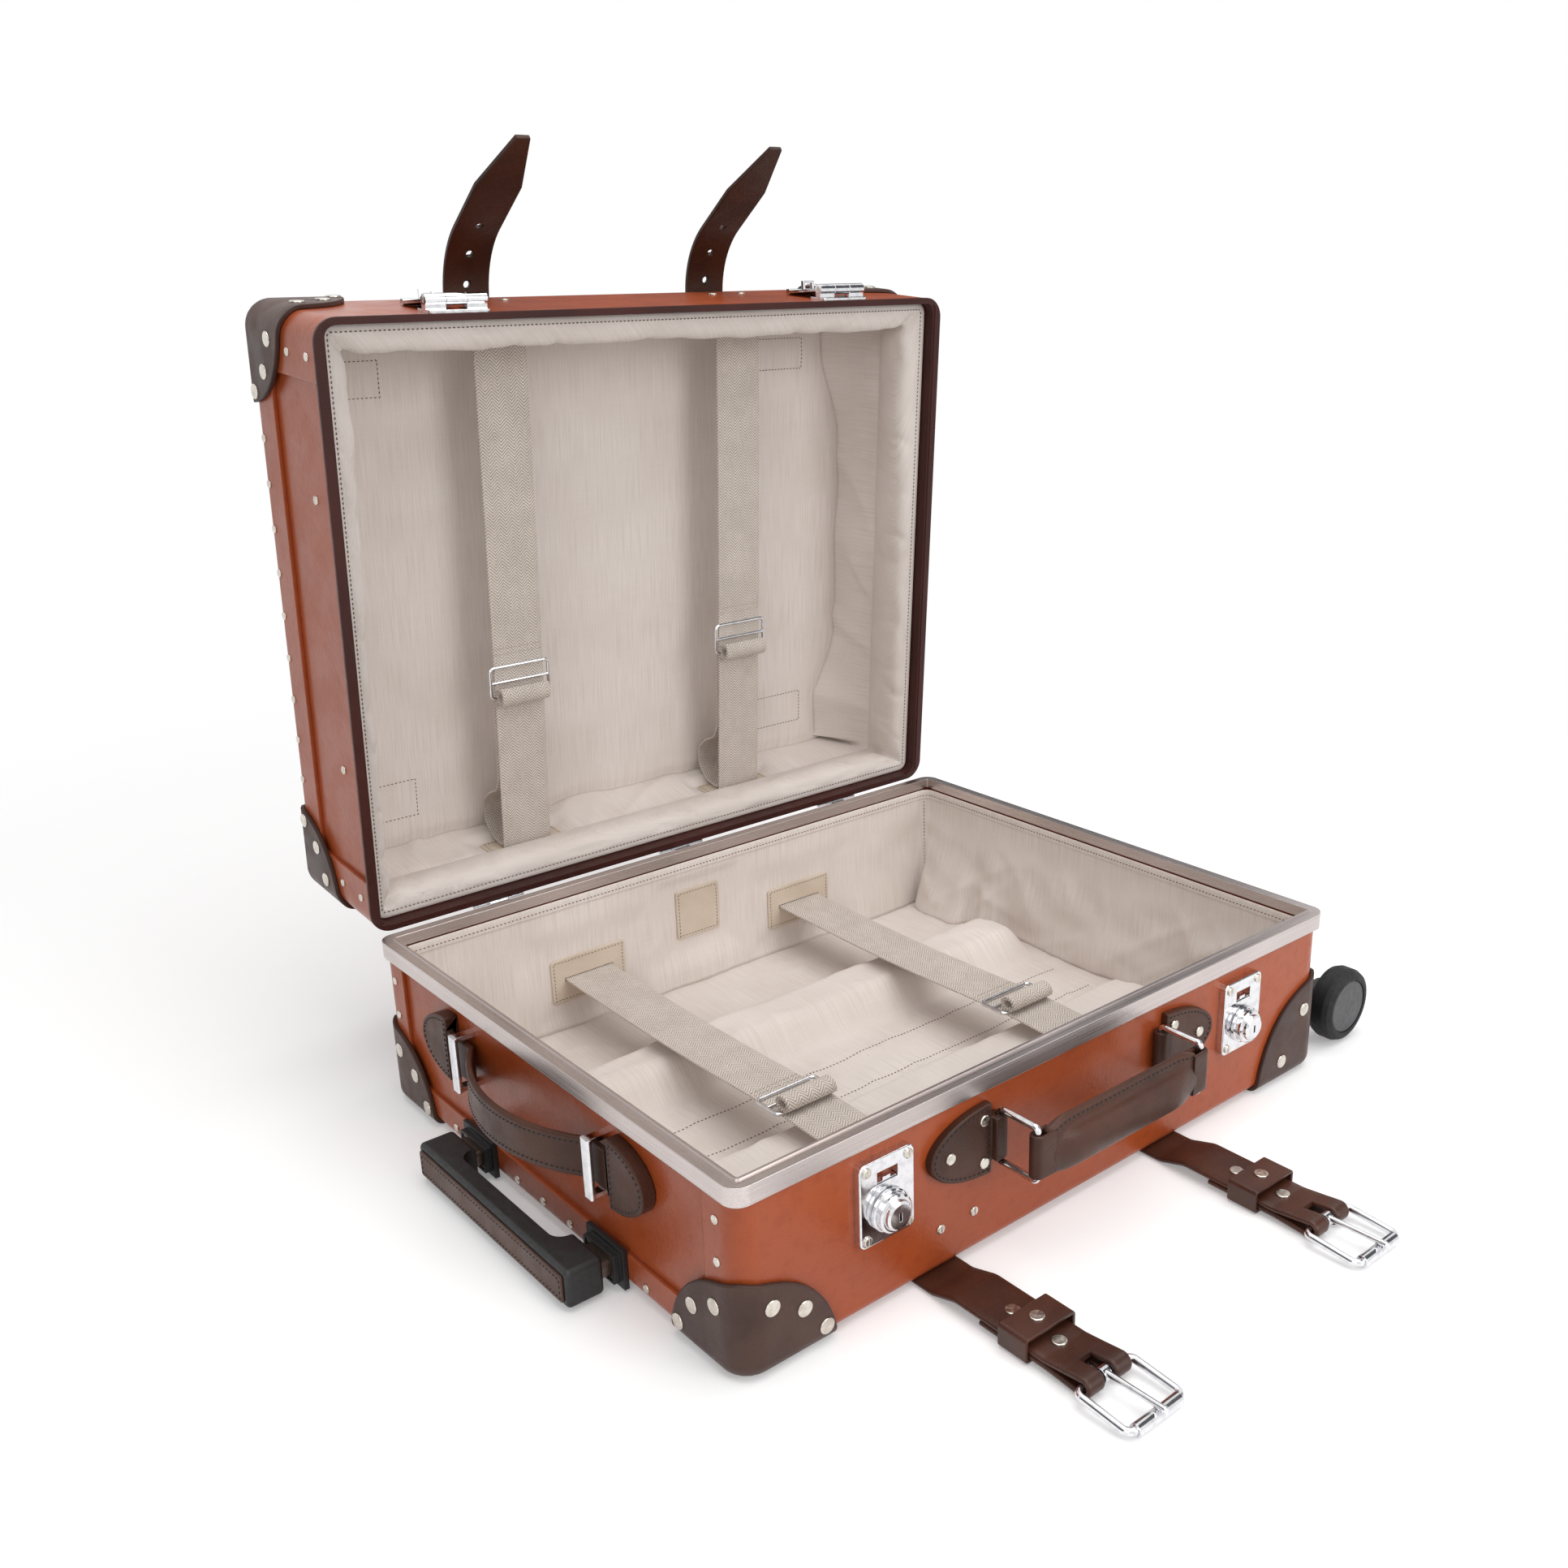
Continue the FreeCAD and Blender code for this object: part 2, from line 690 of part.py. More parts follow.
ridge_half = s.channel_width / 2 + s.lining + 1.5
channel_start = -half_length + 2 * s.board + 1.2
channel_end = channel_start + s.channel_length
LINING_FLOOR_RADIUS = 5.0
RIDGE_PADDING = 8.0
tray, tray_hollow = lining_tray(inside_floor + s.fit_gap, base_lining_top, "top", LINING_FLOOR_RADIUS, None)
ridges = [block(-lining_end + s.lining / 2, channel_end + s.lining + 1,
                side * tube_y - ridge_half, side * tube_y + ridge_half,
                inside_floor + s.fit_gap, inside_floor + s.channel_height + RIDGE_PADDING) for side in SIDES]
channel_room = [block(-half_length, channel_end + 1,
                      side * tube_y - ridge_half + s.lining, side * tube_y + ridge_half - s.lining,
                      inside_floor - 1, inside_floor + s.channel_height + 1) for side in SIDES]
node("base_lining", cut(fuse(cut(tray, tray_hollow), *ridges), *channel_room))

tray, tray_hollow = lining_tray(lid_lining_bottom, lid_board_top - s.board - s.fit_gap, "bottom",
                                None, LINING_FLOOR_RADIUS)


def within_binding(inset, z0, z1):
    """A block with round corners, set in from where the binding lies against the boards."""
    return rounded(block(-binding_end + inset, binding_end - inset, -binding_side + inset, binding_side - inset, z0, z1),
                   (along("Z"), float(s.lid_rim_corner - inset)))


def lid_roll():
    """The padded roll: inside the binding at the mouth, on the lining further in."""
    low = lid_edge + s.lid_roll_setback
    high = low + s.lid_roll_height
    outside = binding_inside - s.fit_gap
    hole_end = half_length + outside - s.lid_roll_width
    hole_side = half_width + outside - s.lid_roll_width
    mouth = within_binding(s.lid_rim_wall + s.fit_gap, low, lid_lining_bottom + 1)
    seat = rounded(block(-lining_end + s.lining / 2, lining_end - s.lining / 2,
                         -lining_side + s.lining / 2, lining_side - s.lining / 2, lid_lining_bottom, high),
                   (along("Z"), float(s.corner_radius - s.board - s.lining / 2)))
    hole = rounded(block(-hole_end, hole_end, -hole_side, hole_side, low - 1, high + 1),
                   (along("Z"), float(s.corner_radius)))

    def round_the_hole(level):
        """Choose the hole's own edges at one height."""
        at_level = at_height(level)

        def chooser(edge):
            box = edge.BoundBox
            in_length = max(box.XMax, -box.XMin) < float(hole_end) + 0.1
            in_width = max(box.YMax, -box.YMin) < float(hole_side) + 0.1
            return in_length and in_width and at_level(edge)
        return chooser
    return rounded(cut(fuse(mouth, seat), hole), (round_the_hole(low), s.lid_roll_radius),
                   (round_the_hole(high), s.lid_roll_radius))


node("lid_lining", fuse(cut(tray, tray_hollow), lid_roll()), moves_with_lid=True)

# Packing straps of webbing, their wire slides and the slotted leather patches


def webbing_strap(side, points):
    """One webbing strap along a bent centre line."""
    return band(points, s.webbing, side * float(strap_x), s.webbing_width)


WEBBING_END = 0.2
WEBBING_TAB = 20.0
web_rear = float(lining_face) - WEBBING_END
web_front = -float(lining_face) + float(s.webbing) / 2 + WEBBING_END
base_web_z = float(s.base_webbing_height)
base_web_line = [(web_rear, base_web_z), (-68.0, base_web_z), (web_front + 6.0, base_web_z - 4.0),
                 (web_front, base_web_z - 9.0), (web_front, base_web_z - 9.0 - WEBBING_TAB)]
node("base_webbing", solid(Part.makeCompound([webbing_strap(side, base_web_line) for side in SIDES])))

lid_web_z = float(lid_board_top - s.lid_webbing_depth)
lid_web_line = [(web_rear, lid_web_z), (web_front + 6.0, lid_web_z),
                (web_front, lid_web_z + 5.0), (web_front, lid_web_z + 5.0 + WEBBING_TAB)]
node("lid_webbing", solid(Part.makeCompound([webbing_strap(side, lid_web_line) for side in SIDES])),
     moves_with_lid=True)


def wire_slide(x, y, z):
    """A two-window wire slide lying on the webbing."""
    half = float(s.webbing_width) / 2 + 3.5
    length, radius = float(s.slide_length), float(s.slide_wire)
    corners = [V(x - half, y - length / 2, z), V(x + half, y - length / 2, z),
               V(x + half, y + length / 2, z), V(x - half, y + length / 2, z)]
    bar = Part.makeCylinder(0.9 * radius, 2 * half, V(x - half, y, z), V(1, 0, 0))
    return wire_loop(corners, 3.0, radius).fuse(bar).removeSplitter()


slide_lift = float(s.webbing) / 2 + float(s.slide_wire) + WEBBING_END
BASE_SLIDE_Y = -52.0
LID_SLIDE_Y = 60.0
base_slides = [wire_slide(side * float(strap_x), BASE_SLIDE_Y, base_web_z + slide_lift) for side in SIDES]
lid_slides = [wire_slide(side * float(strap_x), LID_SLIDE_Y, lid_web_z - slide_lift) for side in SIDES]
node("base_webbing_buckles", solid(Part.makeCompound(base_slides)))
node("lid_webbing_buckles", solid(Part.makeCompound(lid_slides)), moves_with_lid=True)

SLIT_GAP = 0.6


def slotted_patch(side, z):
    """A leather patch on the rear lining with a slit for the webbing."""
    x = side * strap_x
    face = lining_face
    patch = block(x - s.patch_width / 2, x + s.patch_width / 2, face - s.patch_leather, face,
                  z - s.patch_height / 2, z + s.patch_height / 2)
    slit = block(x - s.webbing_width / 2 - SLIT_GAP, x + s.webbing_width / 2 + SLIT_GAP,
                 face - s.patch_leather - 1, face + 1,
                 z - s.webbing / 2 - SLIT_GAP, z + s.webbing / 2 + SLIT_GAP)
    return cut(rounded(patch, (along("Y"), 3.0)), slit)


LABEL_HALF = 19.0
LABEL_RISE = 20.0
label_z = s.base_webbing_height + LABEL_RISE
label = rounded(block(-LABEL_HALF, LABEL_HALF, lining_face - s.patch_leather, lining_face,
                      label_z - LABEL_HALF, label_z + LABEL_HALF), (along("Y"), 2.0))
node("base_patches", group(*[slotted_patch(side, s.base_webbing_height) for side in SIDES], label))
lid_patch_z = lid_board_top - s.lid_webbing_depth
node("lid_patches", group(*[slotted_patch(side, lid_patch_z) for side in SIDES]), moves_with_lid=True)

# Locks: a thick plate with a slot for the hasp, a sliding bolt and a turning key barrel

BOLT_HALF = 2.6
BOLT_GUIDE_HALF = 6.6
BOLT_REST = 0.2
BARREL_SHANK = 8.0


def lock_plate(side):
    """One lock plate with its slot, bolt way and barrel hole."""
    x = side * lock_x
    z = s.lock_centre_height
    plate = block(x - s.lock_width / 2, x + s.lock_width / 2, front - s.lock_plate, front,
                  z - s.lock_height / 2, z + s.lock_height / 2)
    face = front - s.lock_plate

    def on_face(edge):
        return all(abs(vertex.Y - float(face)) < 1e-6 for vertex in edge.Vertexes)

    plate = rounded(rounded(plate, (along("Y"), 4.0)), (on_face, 1.0))
    slot = block(x - s.lock_slot_width / 2, x + s.lock_slot_width / 2, face - 1, front + 1,
                 slot_z - s.lock_slot_height / 2, slot_z + s.lock_slot_height / 2)
    hole = rod("Y", dim(BARREL_SHANK) + s.running_gap, s.lock_plate + 2, x, face - 1, barrel_z)
    return cut(plate, slot, hole)


def lock_bolt(side):
    """The bolt: a nose that rises into the hasp's staple, on a foot guided by the slot."""
    x = side * lock_x
    face = front - s.lock_plate
    low = slot_z - s.lock_slot_height / 2 + BOLT_REST
    nose = block(x - BOLT_HALF, x + BOLT_HALF, face + 0.7, face + 2.3, low, low + 2.4)
    foot = block(x - BOLT_GUIDE_HALF, x + BOLT_GUIDE_HALF, face + 0.7, front - 0.05, low, low + 0.6)
    return fuse(nose, foot)


def lock_barrel(side):
    """The stepped key barrel, turned from a profile, with its keyhole."""
    radius = s.lock_barrel_radius
    depth = s.lock_plate
    lift = depth + 0.1
    body = turned_body("LockBarrel", [
        (0, 0.05), (BARREL_SHANK, 0.05), (BARREL_SHANK, lift), (radius - 0.8, lift), (radius, lift + 0.8),
        (radius, lift + 2.4), (radius - 0.9, lift + 3.2), (radius - 1.9, lift + 3.2),
        (radius - 1.9, lift + 4.0), (radius - 1.2, lift + 4.6), (radius - 1.2, lift + 6.4),
        (radius - 2.4, lift + 7.4), (radius - 3.4, lift + 7.4), (radius - 3.8, lift + 9.2),
        (radius - 5.0, lift + 10.0), (0, lift + 10.0)])
    keyhole = sketch_on(body, "XY_Plane")
    closed_profile(keyhole, [(-0.8, -3.0), (0.8, -3.0), (0.8, 2.0), (-0.8, 2.0)])
    pocket = body.newObject("PartDesign::Pocket", "Keyhole")
    pocket.Profile = keyhole
    pocket.Type = "ThroughAll"
    pocket.Reversed = True
    before = body.Shape.Volume
    doc.recompute()
    if body.Shape.Volume >= before:
        raise RuntimeError("the keyhole cut nothing")
    outward = FreeCAD.Rotation(AXES["Z"], V(0, -1, 0))
    body.Placement = FreeCAD.Placement(V(float(side * lock_x), float(front), float(barrel_z)), outward)
    return body


node("lock_plates", group(*[lock_plate(side) for side in SIDES]))
for side, name in zip(SIDES, ("left", "right")):
    node("lock_bolt_" + name, lock_bolt(side))
    node("lock_barrel_" + name, lock_barrel(side))

# Screws: at the lock plates' corners and where the webbing ends are held

SCREW_HEAD = 1.2
STRAP_SCREW_HALF = 12.5


def screw(place, normal):
    """A slotted round head standing on a surface."""
    head = rivet(s.screw_radius, SCREW_HEAD, place, normal)
    slot = Part.makeBox(0.7, 8.0, 0.6, V(-0.35, -4.0, SCREW_HEAD - 0.4))
    slot.Placement = FreeCAD.Placement(place, FreeCAD.Rotation(AXES["Z"], normal)).multiply(slot.Placement)
    return head.cut(slot)


base_screws = []
lid_screws = []
for side in SIDES:
    x = float(side * lock_x)
    for sx in SIDES:
        for sz in SIDES:
            place = V(x + sx * (float(s.lock_width) / 2 - 4.5), float(front - s.lock_plate),
                      float(s.lock_centre_height) + sz * (float(s.lock_height) / 2 - 4.5))
            base_screws.append(screw(place, V(0, -1, 0)))
        strap_screw_x = side * float(strap_x) + sx * STRAP_SCREW_HALF
        base_screws.append(screw(V(strap_screw_x, float(front), base_web_z - 14.0), V(0, -1, 0)))
        lid_screws.append(screw(V(strap_screw_x, float(front), lid_web_z + 13.0), V(0, -1, 0)))
DOME_SCREW_Y = 86.0
DOME_SCREW_RISE = 26.0
for sx in SIDES:
    for sy in SIDES:
        place = V(sx * float(half_length - s.board), sy * DOME_SCREW_Y, float(lid_edge) + DOME_SCREW_RISE)
        lid_screws.append(screw(place, V(sx, 0, 0)))
node("base_screws", solid(Part.makeCompound(base_screws)))
node("lid_screws", solid(Part.makeCompound(lid_screws)), moves_with_lid=True)

# Carry handle: two stitched leather tabs, two wire rings and a leather-wrapped grip

ring_x = s.carry_ring_spacing / 2
ring_pivot_y = front - s.carry_tab_leather + 0.2
FOLD_HALF_HEIGHT = 13.2
FOLD_RADIUS = 4.6
FOLD_LENGTH = 5.5


def carry_tab(side):
    """A D shaped tab with a fold that holds the ring's inner bar."""
    root = float(ring_x) + FOLD_LENGTH
    face = half_ellipse(float(s.carry_tab_length) - FOLD_LENGTH, float(s.carry_tab_height))
    plate = face.extrude(V(0, 0, float(s.carry_tab_leather)))
    if side < 0:
        plate = mirrored(plate, "X")
    upright = FreeCAD.Rotation(V(1, 0, 0), V(0, 0, 1), V(0, -1, 0), "XYZ")
    plate.Placement = FreeCAD.Placement(V(side * root, float(front), float(s.carry_height)), upright)
    low, high = sorted((side * float(ring_x), side * (root + 0.5)))
    z0 = float(s.carry_height) - FOLD_HALF_HEIGHT
    pivot = V(side * float(ring_x), float(ring_pivot_y), z0)
    fold = Part.makeBox(high - low, FOLD_RADIUS + float(front - ring_pivot_y), 2 * FOLD_HALF_HEIGHT,
                        V(low, float(ring_pivot_y) - FOLD_RADIUS, z0))
    roll = Part.makeCylinder(FOLD_RADIUS, 2 * FOLD_HALF_HEIGHT, pivot)
    bore = Part.makeCylinder(float(s.carry_wire + s.running_gap), 4 * FOLD_HALF_HEIGHT,
                             pivot - V(0, 0, FOLD_HALF_HEIGHT))
    tab = plate.fuse([fold, roll]).cut(bore)
    behind = Part.makeBox(400, 20, 200, V(-200, float(front), -20))
    return tab.cut(behind).removeSplitter()


node("carry_tabs", solid(Part.makeCompound([carry_tab(side) for side in SIDES])))


def carry_ring(side):
    """A rectangular wire ring standing straight out of its tab."""
    x = side * float(ring_x)
    y0 = float(ring_pivot_y)
    y1 = y0 - float(s.carry_ring_length)
    z0 = float(s.carry_height - s.carry_ring_height / 2)
    z1 = float(s.carry_height + s.carry_ring_height / 2)
    corners = [V(x, y0, z0), V(x, y1, z0), V(x, y1, z1), V(x, y0, z1)]
    return wire_loop(corners, float(s.carry_wire) + 0.6, float(s.carry_wire))


for side, name in zip(SIDES, ("left", "right")):
    node("carry_ring_" + name, solid(carry_ring(side)))

GRIP_SHOULDER = 8.0
GRIP_NECK_HALF = 12.9
OPEN_PIVOT_GAP = 0.3
grip_y = ring_pivot_y - s.carry_ring_length
grip_body = rounded(block(-ring_x + GRIP_SHOULDER, ring_x - GRIP_SHOULDER,
                          grip_y - s.carry_grip_thickness / 2, grip_y + s.carry_grip_thickness / 2,
                          s.carry_height - s.carry_grip_height / 2, s.carry_height + s.carry_grip_height / 2),
                    (every_edge, 5.0))
grip_neck = rounded(block(-ring_x - FOLD_RADIUS, ring_x + FOLD_RADIUS,
                          grip_y - FOLD_RADIUS, grip_y + FOLD_RADIUS,
                          s.carry_height - GRIP_NECK_HALF, s.carry_height + GRIP_NECK_HALF),
                    (along("Z"), FOLD_RADIUS - 0.2))
grip_bores = [rod("Z", s.carry_wire + gap, s.carry_grip_height, side * ring_x, grip_y,
                  s.carry_height - s.carry_grip_height / 2)
              for side, gap in ((-1, s.running_gap), (1, dim(OPEN_PIVOT_GAP)))]
node("carry_grip", cut(fuse(grip_body, grip_neck), *grip_bores))

# Side handle: one bowed leather strap with stop tabs, running under two fixed chrome loops

end_face = -half_length + s.board
loop_y = s.side_loop_spacing / 2
LOOP_BAR = 3.0
LOOP_STAND = 11.5
TAB_CLEAR = 15.0
STRAP_SLIP = 4.0
strap_level = float(end_face) - 6.0
bow_half = float(loop_y) - float(s.side_loop_width)


def side_strap():
    """Bowed strap and its two stop tabs as one piece of leather."""
    thickness, width = float(s.side_strap_leather), float(s.side_strap_width)
    centre_z = float(s.side_height)
    tab_y = float(loop_y) + TAB_CLEAR
    bow = float(s.side_bow)
    half = thickness / 2

    def bow_arc(level, depth):
        return Part.Arc(V(level, -bow_half, 0), V(level - depth, 0, 0), V(level, bow_half, 0)).toShape()

    outer, inner = strap_level - half, strap_level + half
    near, far = -tab_y + STRAP_SLIP - 4, tab_y + STRAP_SLIP + 4
    edges = [Part.makeLine(V(inner, near, 0), V(inner, -bow_half, 0)), bow_arc(inner, bow),
             Part.makeLine(V(inner, bow_half, 0), V(inner, far, 0)),
             Part.makeLine(V(inner, far, 0), V(outer, far, 0)),
             Part.makeLine(V(outer, far, 0), V(outer, bow_half, 0)), bow_arc(outer, bow),
             Part.makeLine(V(outer, -bow_half, 0), V(outer, near, 0)),
             Part.makeLine(V(outer, near, 0), V(inner, near, 0))]
    face = Part.Face(Part.Wire(Part.__sortEdges__(edges)))
    strap = face.extrude(V(0, 0, width)).translated(V(0, 0, centre_z - width / 2))
    tab_face = half_ellipse(float(s.side_tab_length), float(s.side_tab_height))
    tabs = []
    for side in SIDES:
        tab = tab_face.extrude(V(0, 0, float(end_face) - strap_level + half + 0.5))
        axes = FreeCAD.Rotation(V(0, side, 0), V(0, 0, -side), V(-1, 0, 0), "ZXY")
        tab.Placement = FreeCAD.Placement(V(float(end_face), side * tab_y + STRAP_SLIP, centre_z), axes)
        tabs.append(tab)
    return strap.fuse(tabs).removeSplitter()


node("side_handle_strap", solid(side_strap()))


def side_loop(side):
    """A flat chrome staple over the strap."""
    y = side * loop_y
    z = s.side_height
    half_y, half_z = s.side_loop_width / 2, s.side_loop_height / 2
    bar = block(end_face - LOOP_STAND - LOOP_BAR, end_face - LOOP_STAND, y - half_y, y + half_y,
                z - half_z, z + half_z)
    bar = rounded(bar, (along("Z"), 1.2))
    legs = [block(end_face - LOOP_STAND - LOOP_BAR / 2, end_face, y - half_y + 1, y + half_y - 1,
                  *sorted((z + end * half_z, z + end * (half_z - LOOP_BAR)), key=float)) for end in SIDES]
    return fuse(bar, *legs)


node("side_handle_loops", group(*[side_loop(side) for side in SIDES]))

# Rivets of the carry tabs and of the buckle straps share one node

handle_rivets = []
for side in SIDES:
    root = float(ring_x) + FOLD_LENGTH
    face_y = float(front - s.carry_tab_leather)
    for along_tab, up in ((6.0, 13.0), (6.0, -13.0), (31.0, 0.0)):
        place = V(side * (root + along_tab), face_y, float(s.carry_height) + up)
        handle_rivets.append(rivet(3.4, 1.2, place, V(0, -1, 0)))

# Trolley: channels under the lining, two telescoping tubes a side, bezels and the grip


def tube(x0, x1, side, width, height, wall, radius):
    """One square-section tube along X."""
    y = side * tube_y
    outside = block(x0, x1, y - width / 2, y + width / 2, tube_z - height / 2, tube_z + height / 2)
    bore = block(x0 - 1, x1 + 1, y - width / 2 + wall, y + width / 2 - wall,
                 tube_z - height / 2 + wall, tube_z + height / 2 - wall)
    if radius:
        outside = rounded(outside, (along("X"), radius))
        bore = rounded(bore, (along("X"), radius - float(wall)))
    return cut(outside, bore)


bezel_face = -half_length - s.bezel_plate - s.bezel_collar
grip_inside = bezel_face - s.grip_gap
grip_outside = grip_inside - s.grip_depth
SOCKET = 12.0
STAGE_STEP = 10.0
TUBE_CORNER = 2.5
node("trolley_channels", group(*[tube(channel_start, channel_end, side, s.channel_width,
                                      s.channel_height, s.tube_wall, None) for side in SIDES]))
node("trolley_middle_tubes", group(*[tube(bezel_face + 0.5, channel_end - STAGE_STEP, side, middle_width,
                                          middle_height, s.tube_wall, None) for side in SIDES]))
node("trolley_inner_tubes", group(*[tube(grip_inside - SOCKET, channel_end - 2 * STAGE_STEP, side,
                                         inner_width, inner_height, s.tube_wall, TUBE_CORNER)
                                    for side in SIDES]))


def bezel(side):
    """A black plate and collar round one tube where it leaves the end."""
    y = side * tube_y
    plate = padded_body("BezelPlate", [(-s.bezel_width / 2, -s.bezel_height / 2),
                                       (s.bezel_width / 2, -s.bezel_height / 2),
                                       (s.bezel_width / 2, s.bezel_height / 2),
                                       (-s.bezel_width / 2, s.bezel_height / 2)], s.bezel_plate)
    plate.Placement = FreeCAD.Placement(V(float(-half_length), float(y), float(tube_z)),
                                        FreeCAD.Rotation(V(0, 1, 0), V(0, 0, 1), V(-1, 0, 0), "ZXY"))
    collar = rounded(block(bezel_face, -half_length - s.bezel_plate, y - s.channel_width / 2 - 1.5,
                           y + s.channel_width / 2 + 1.5, tube_z - s.channel_height / 2 - 0.8,
                           tube_z + s.channel_height / 2 + 0.8), (along("X"), 2.0))
    way = block(bezel_face - 1, -half_length + 1, y - way_width / 2, y + way_width / 2,
                tube_z - way_height / 2, tube_z + way_height / 2)
    return cut(fuse(plate, collar), way)


node("trolley_bezels", group(*[bezel(side) for side in SIDES]))

grip_half = s.grip_length / 2
grip_block = rounded(block(grip_outside, grip_inside, -grip_half, grip_half,
                           tube_z - s.grip_height / 2, tube_z + s.grip_height / 2), (every_edge, 3.0))
finger_room = rounded(block(grip_outside + s.grip_bar, grip_inside + 12, -grip_half + s.grip_leg,
                            grip_half - s.grip_leg, tube_z - s.grip_height, tube_z + s.grip_height),
                      (along("Z"), 9.0))
sockets = [rounded(block(grip_inside - SOCKET, grip_inside + 1,
                         side * tube_y - inner_width / 2 - 0.05, side * tube_y + inner_width / 2 + 0.05,
                         tube_z - inner_height / 2 - 0.05, tube_z + inner_height / 2 + 0.05),
                   (along("X"), TUBE_CORNER)) for side in SIDES]
release_face = grip_outside + s.grip_bar
RELEASE_BACK = 5.0
release_pocket = block(release_face - RELEASE_BACK - s.release_travel - 0.3, release_face + 1,
                       -s.release_length / 2 - s.fit_gap, s.release_length / 2 + s.fit_gap,
                       tube_z - s.release_height / 2 - s.fit_gap, tube_z + s.release_height / 2 + s.fit_gap)
node("trolley_grip", cut(grip_block, finger_room, release_pocket, *sockets))
node("trolley_grip_leather", rounded(block(grip_outside - s.grip_leather, grip_outside,
                                           -grip_half + 3.5, grip_half - 3.5,
                                           tube_z - s.grip_height / 2 + 3.2,
                                           tube_z + s.grip_height / 2 - 3.2), (along("X"), 2.0)))
node("trolley_release_bar", rounded(block(release_face - RELEASE_BACK, release_face + s.release_travel,
                                          -s.release_length / 2, s.release_length / 2,
                                          tube_z - s.release_height / 2, tube_z + s.release_height / 2),
                                    (along("X"), 1.5)))

# Wheels: a bracket on the wheel-end corner leather, a stub axle, a hub and a soft tyre

wheel_x = half_length + s.wheel_overhang
wheel_face = half_width + 0.5
wheel_inside = wheel_face - s.wheel_width
axle_z = s.wheel_axis_height
HUB_WALL = 1.0
TYRE_EDGE = 5.0
TYRE_EDGE_SHARE = 0.75
BRACKET_GAP = 1.5
BRACKET_ARM = 8.0
BRACKET_PLATE = 4.0


def wheel_bracket(side):
    """A plate on the end with an arm beside the wheel."""
    near = wheel_inside - BRACKET_GAP
    seat = half_length + s.corner_leather
    y0, y1 = sorted((side * (near - 42), side * (near - 6)), key=float)
    a0, a1 = sorted((side * (near - BRACKET_ARM), side * near), key=float)
    plate = rounded(block(seat, seat + BRACKET_PLATE, y0, y1, axle_z - 22, axle_z + 22), (along("X"), 4.0))
    arm = block(seat, wheel_x, a0, a1, axle_z - 12, axle_z + 12)
    nose = rod("Y", 12, BRACKET_ARM, wheel_x, a0, axle_z)
    bore = rod("Y", s.axle_radius, BRACKET_ARM + 2, wheel_x, a0 - 1, axle_z)
    return cut(fuse(plate, arm, nose), bore)


def wheel_axle(side):
    """A stub axle pressed into the bracket's arm, with a washer head."""
    start = wheel_inside - BRACKET_GAP - BRACKET_ARM
    length = s.wheel_width + BRACKET_GAP + BRACKET_ARM - 4
    y0 = start if side > 0 else -start - length
    shaft = rod("Y", s.axle_radius, length, wheel_x, y0, axle_z)
    spacer_y = wheel_inside - BRACKET_GAP if side > 0 else -wheel_inside + 0.2
    spacer = rod("Y", s.axle_radius + 2, BRACKET_GAP - 0.2, wheel_x, spacer_y, axle_z)
    return fuse(shaft, spacer)


def turned_wheel_part(side, name, profile):
    """A turned piece of the wheel, standing with its face outwards."""
    body = turned_body(name, profile)
    body.Placement = FreeCAD.Placement(V(float(wheel_x), side * float(wheel_inside), float(axle_z)),
                                       FreeCAD.Rotation(AXES["Z"], V(0, side, 0)))
    return body


node("wheel_brackets", group(*[wheel_bracket(side) for side in SIDES]))
node("wheel_axles", group(*[wheel_axle(side) for side in SIDES]))
axle_bore = s.axle_radius + s.running_gap
tyre_wall = s.wheel_radius - s.wheel_hub_radius
tyre_edge = dim(min(TYRE_EDGE, TYRE_EDGE_SHARE * float(tyre_wall)))
tyre_round = 0.3 * tyre_edge
for side, name in zip(SIDES, ("front", "rear")):
    node("wheel_%s_tyre" % name, turned_wheel_part(side, "Tyre", [
        (s.wheel_hub_radius, 0), (s.wheel_radius - tyre_edge, 0), (s.wheel_radius - tyre_round, tyre_round),
        (s.wheel_radius, tyre_edge), (s.wheel_radius, s.wheel_width - tyre_edge),
        (s.wheel_radius - tyre_round, s.wheel_width - tyre_round), (s.wheel_radius - tyre_edge, s.wheel_width),
        (s.wheel_hub_radius, s.wheel_width)]))
    node("wheel_%s_hub" % name, turned_wheel_part(side, "Hub", [
        (axle_bore, 0), (s.wheel_hub_radius, 0), (s.wheel_hub_radius, s.wheel_width - HUB_WALL),
        (s.wheel_hub_radius - 0.8, s.wheel_width - HUB_WALL + 0.5), (0, s.wheel_width - HUB_WALL + 0.5),
        (0, s.wheel_width - 3.5), (axle_bore, s.wheel_width - 3.5)]))

# Buckle straps: leather from under the base, folded round the buckle bar on the floor

leather = float(s.strap_leather)
bar_y = float(front - s.buckle_reach)
FOLD_INSIDE = 2.6
bar_z = FOLD_INSIDE + leather + 0.6
under_strap_x = {side: side * float(strap_x) + float(s.under_strap_shift) for side in SIDES}
STRAP_REAR = 150.0
PRONG_SLOT = 8.0
LIFT_START = 10.0
lift_y = float(front) - LIFT_START
upper_z = 6.9
lower_z = 3.7
join_y = bar_y + 24.0
RETURN_END = 70.0


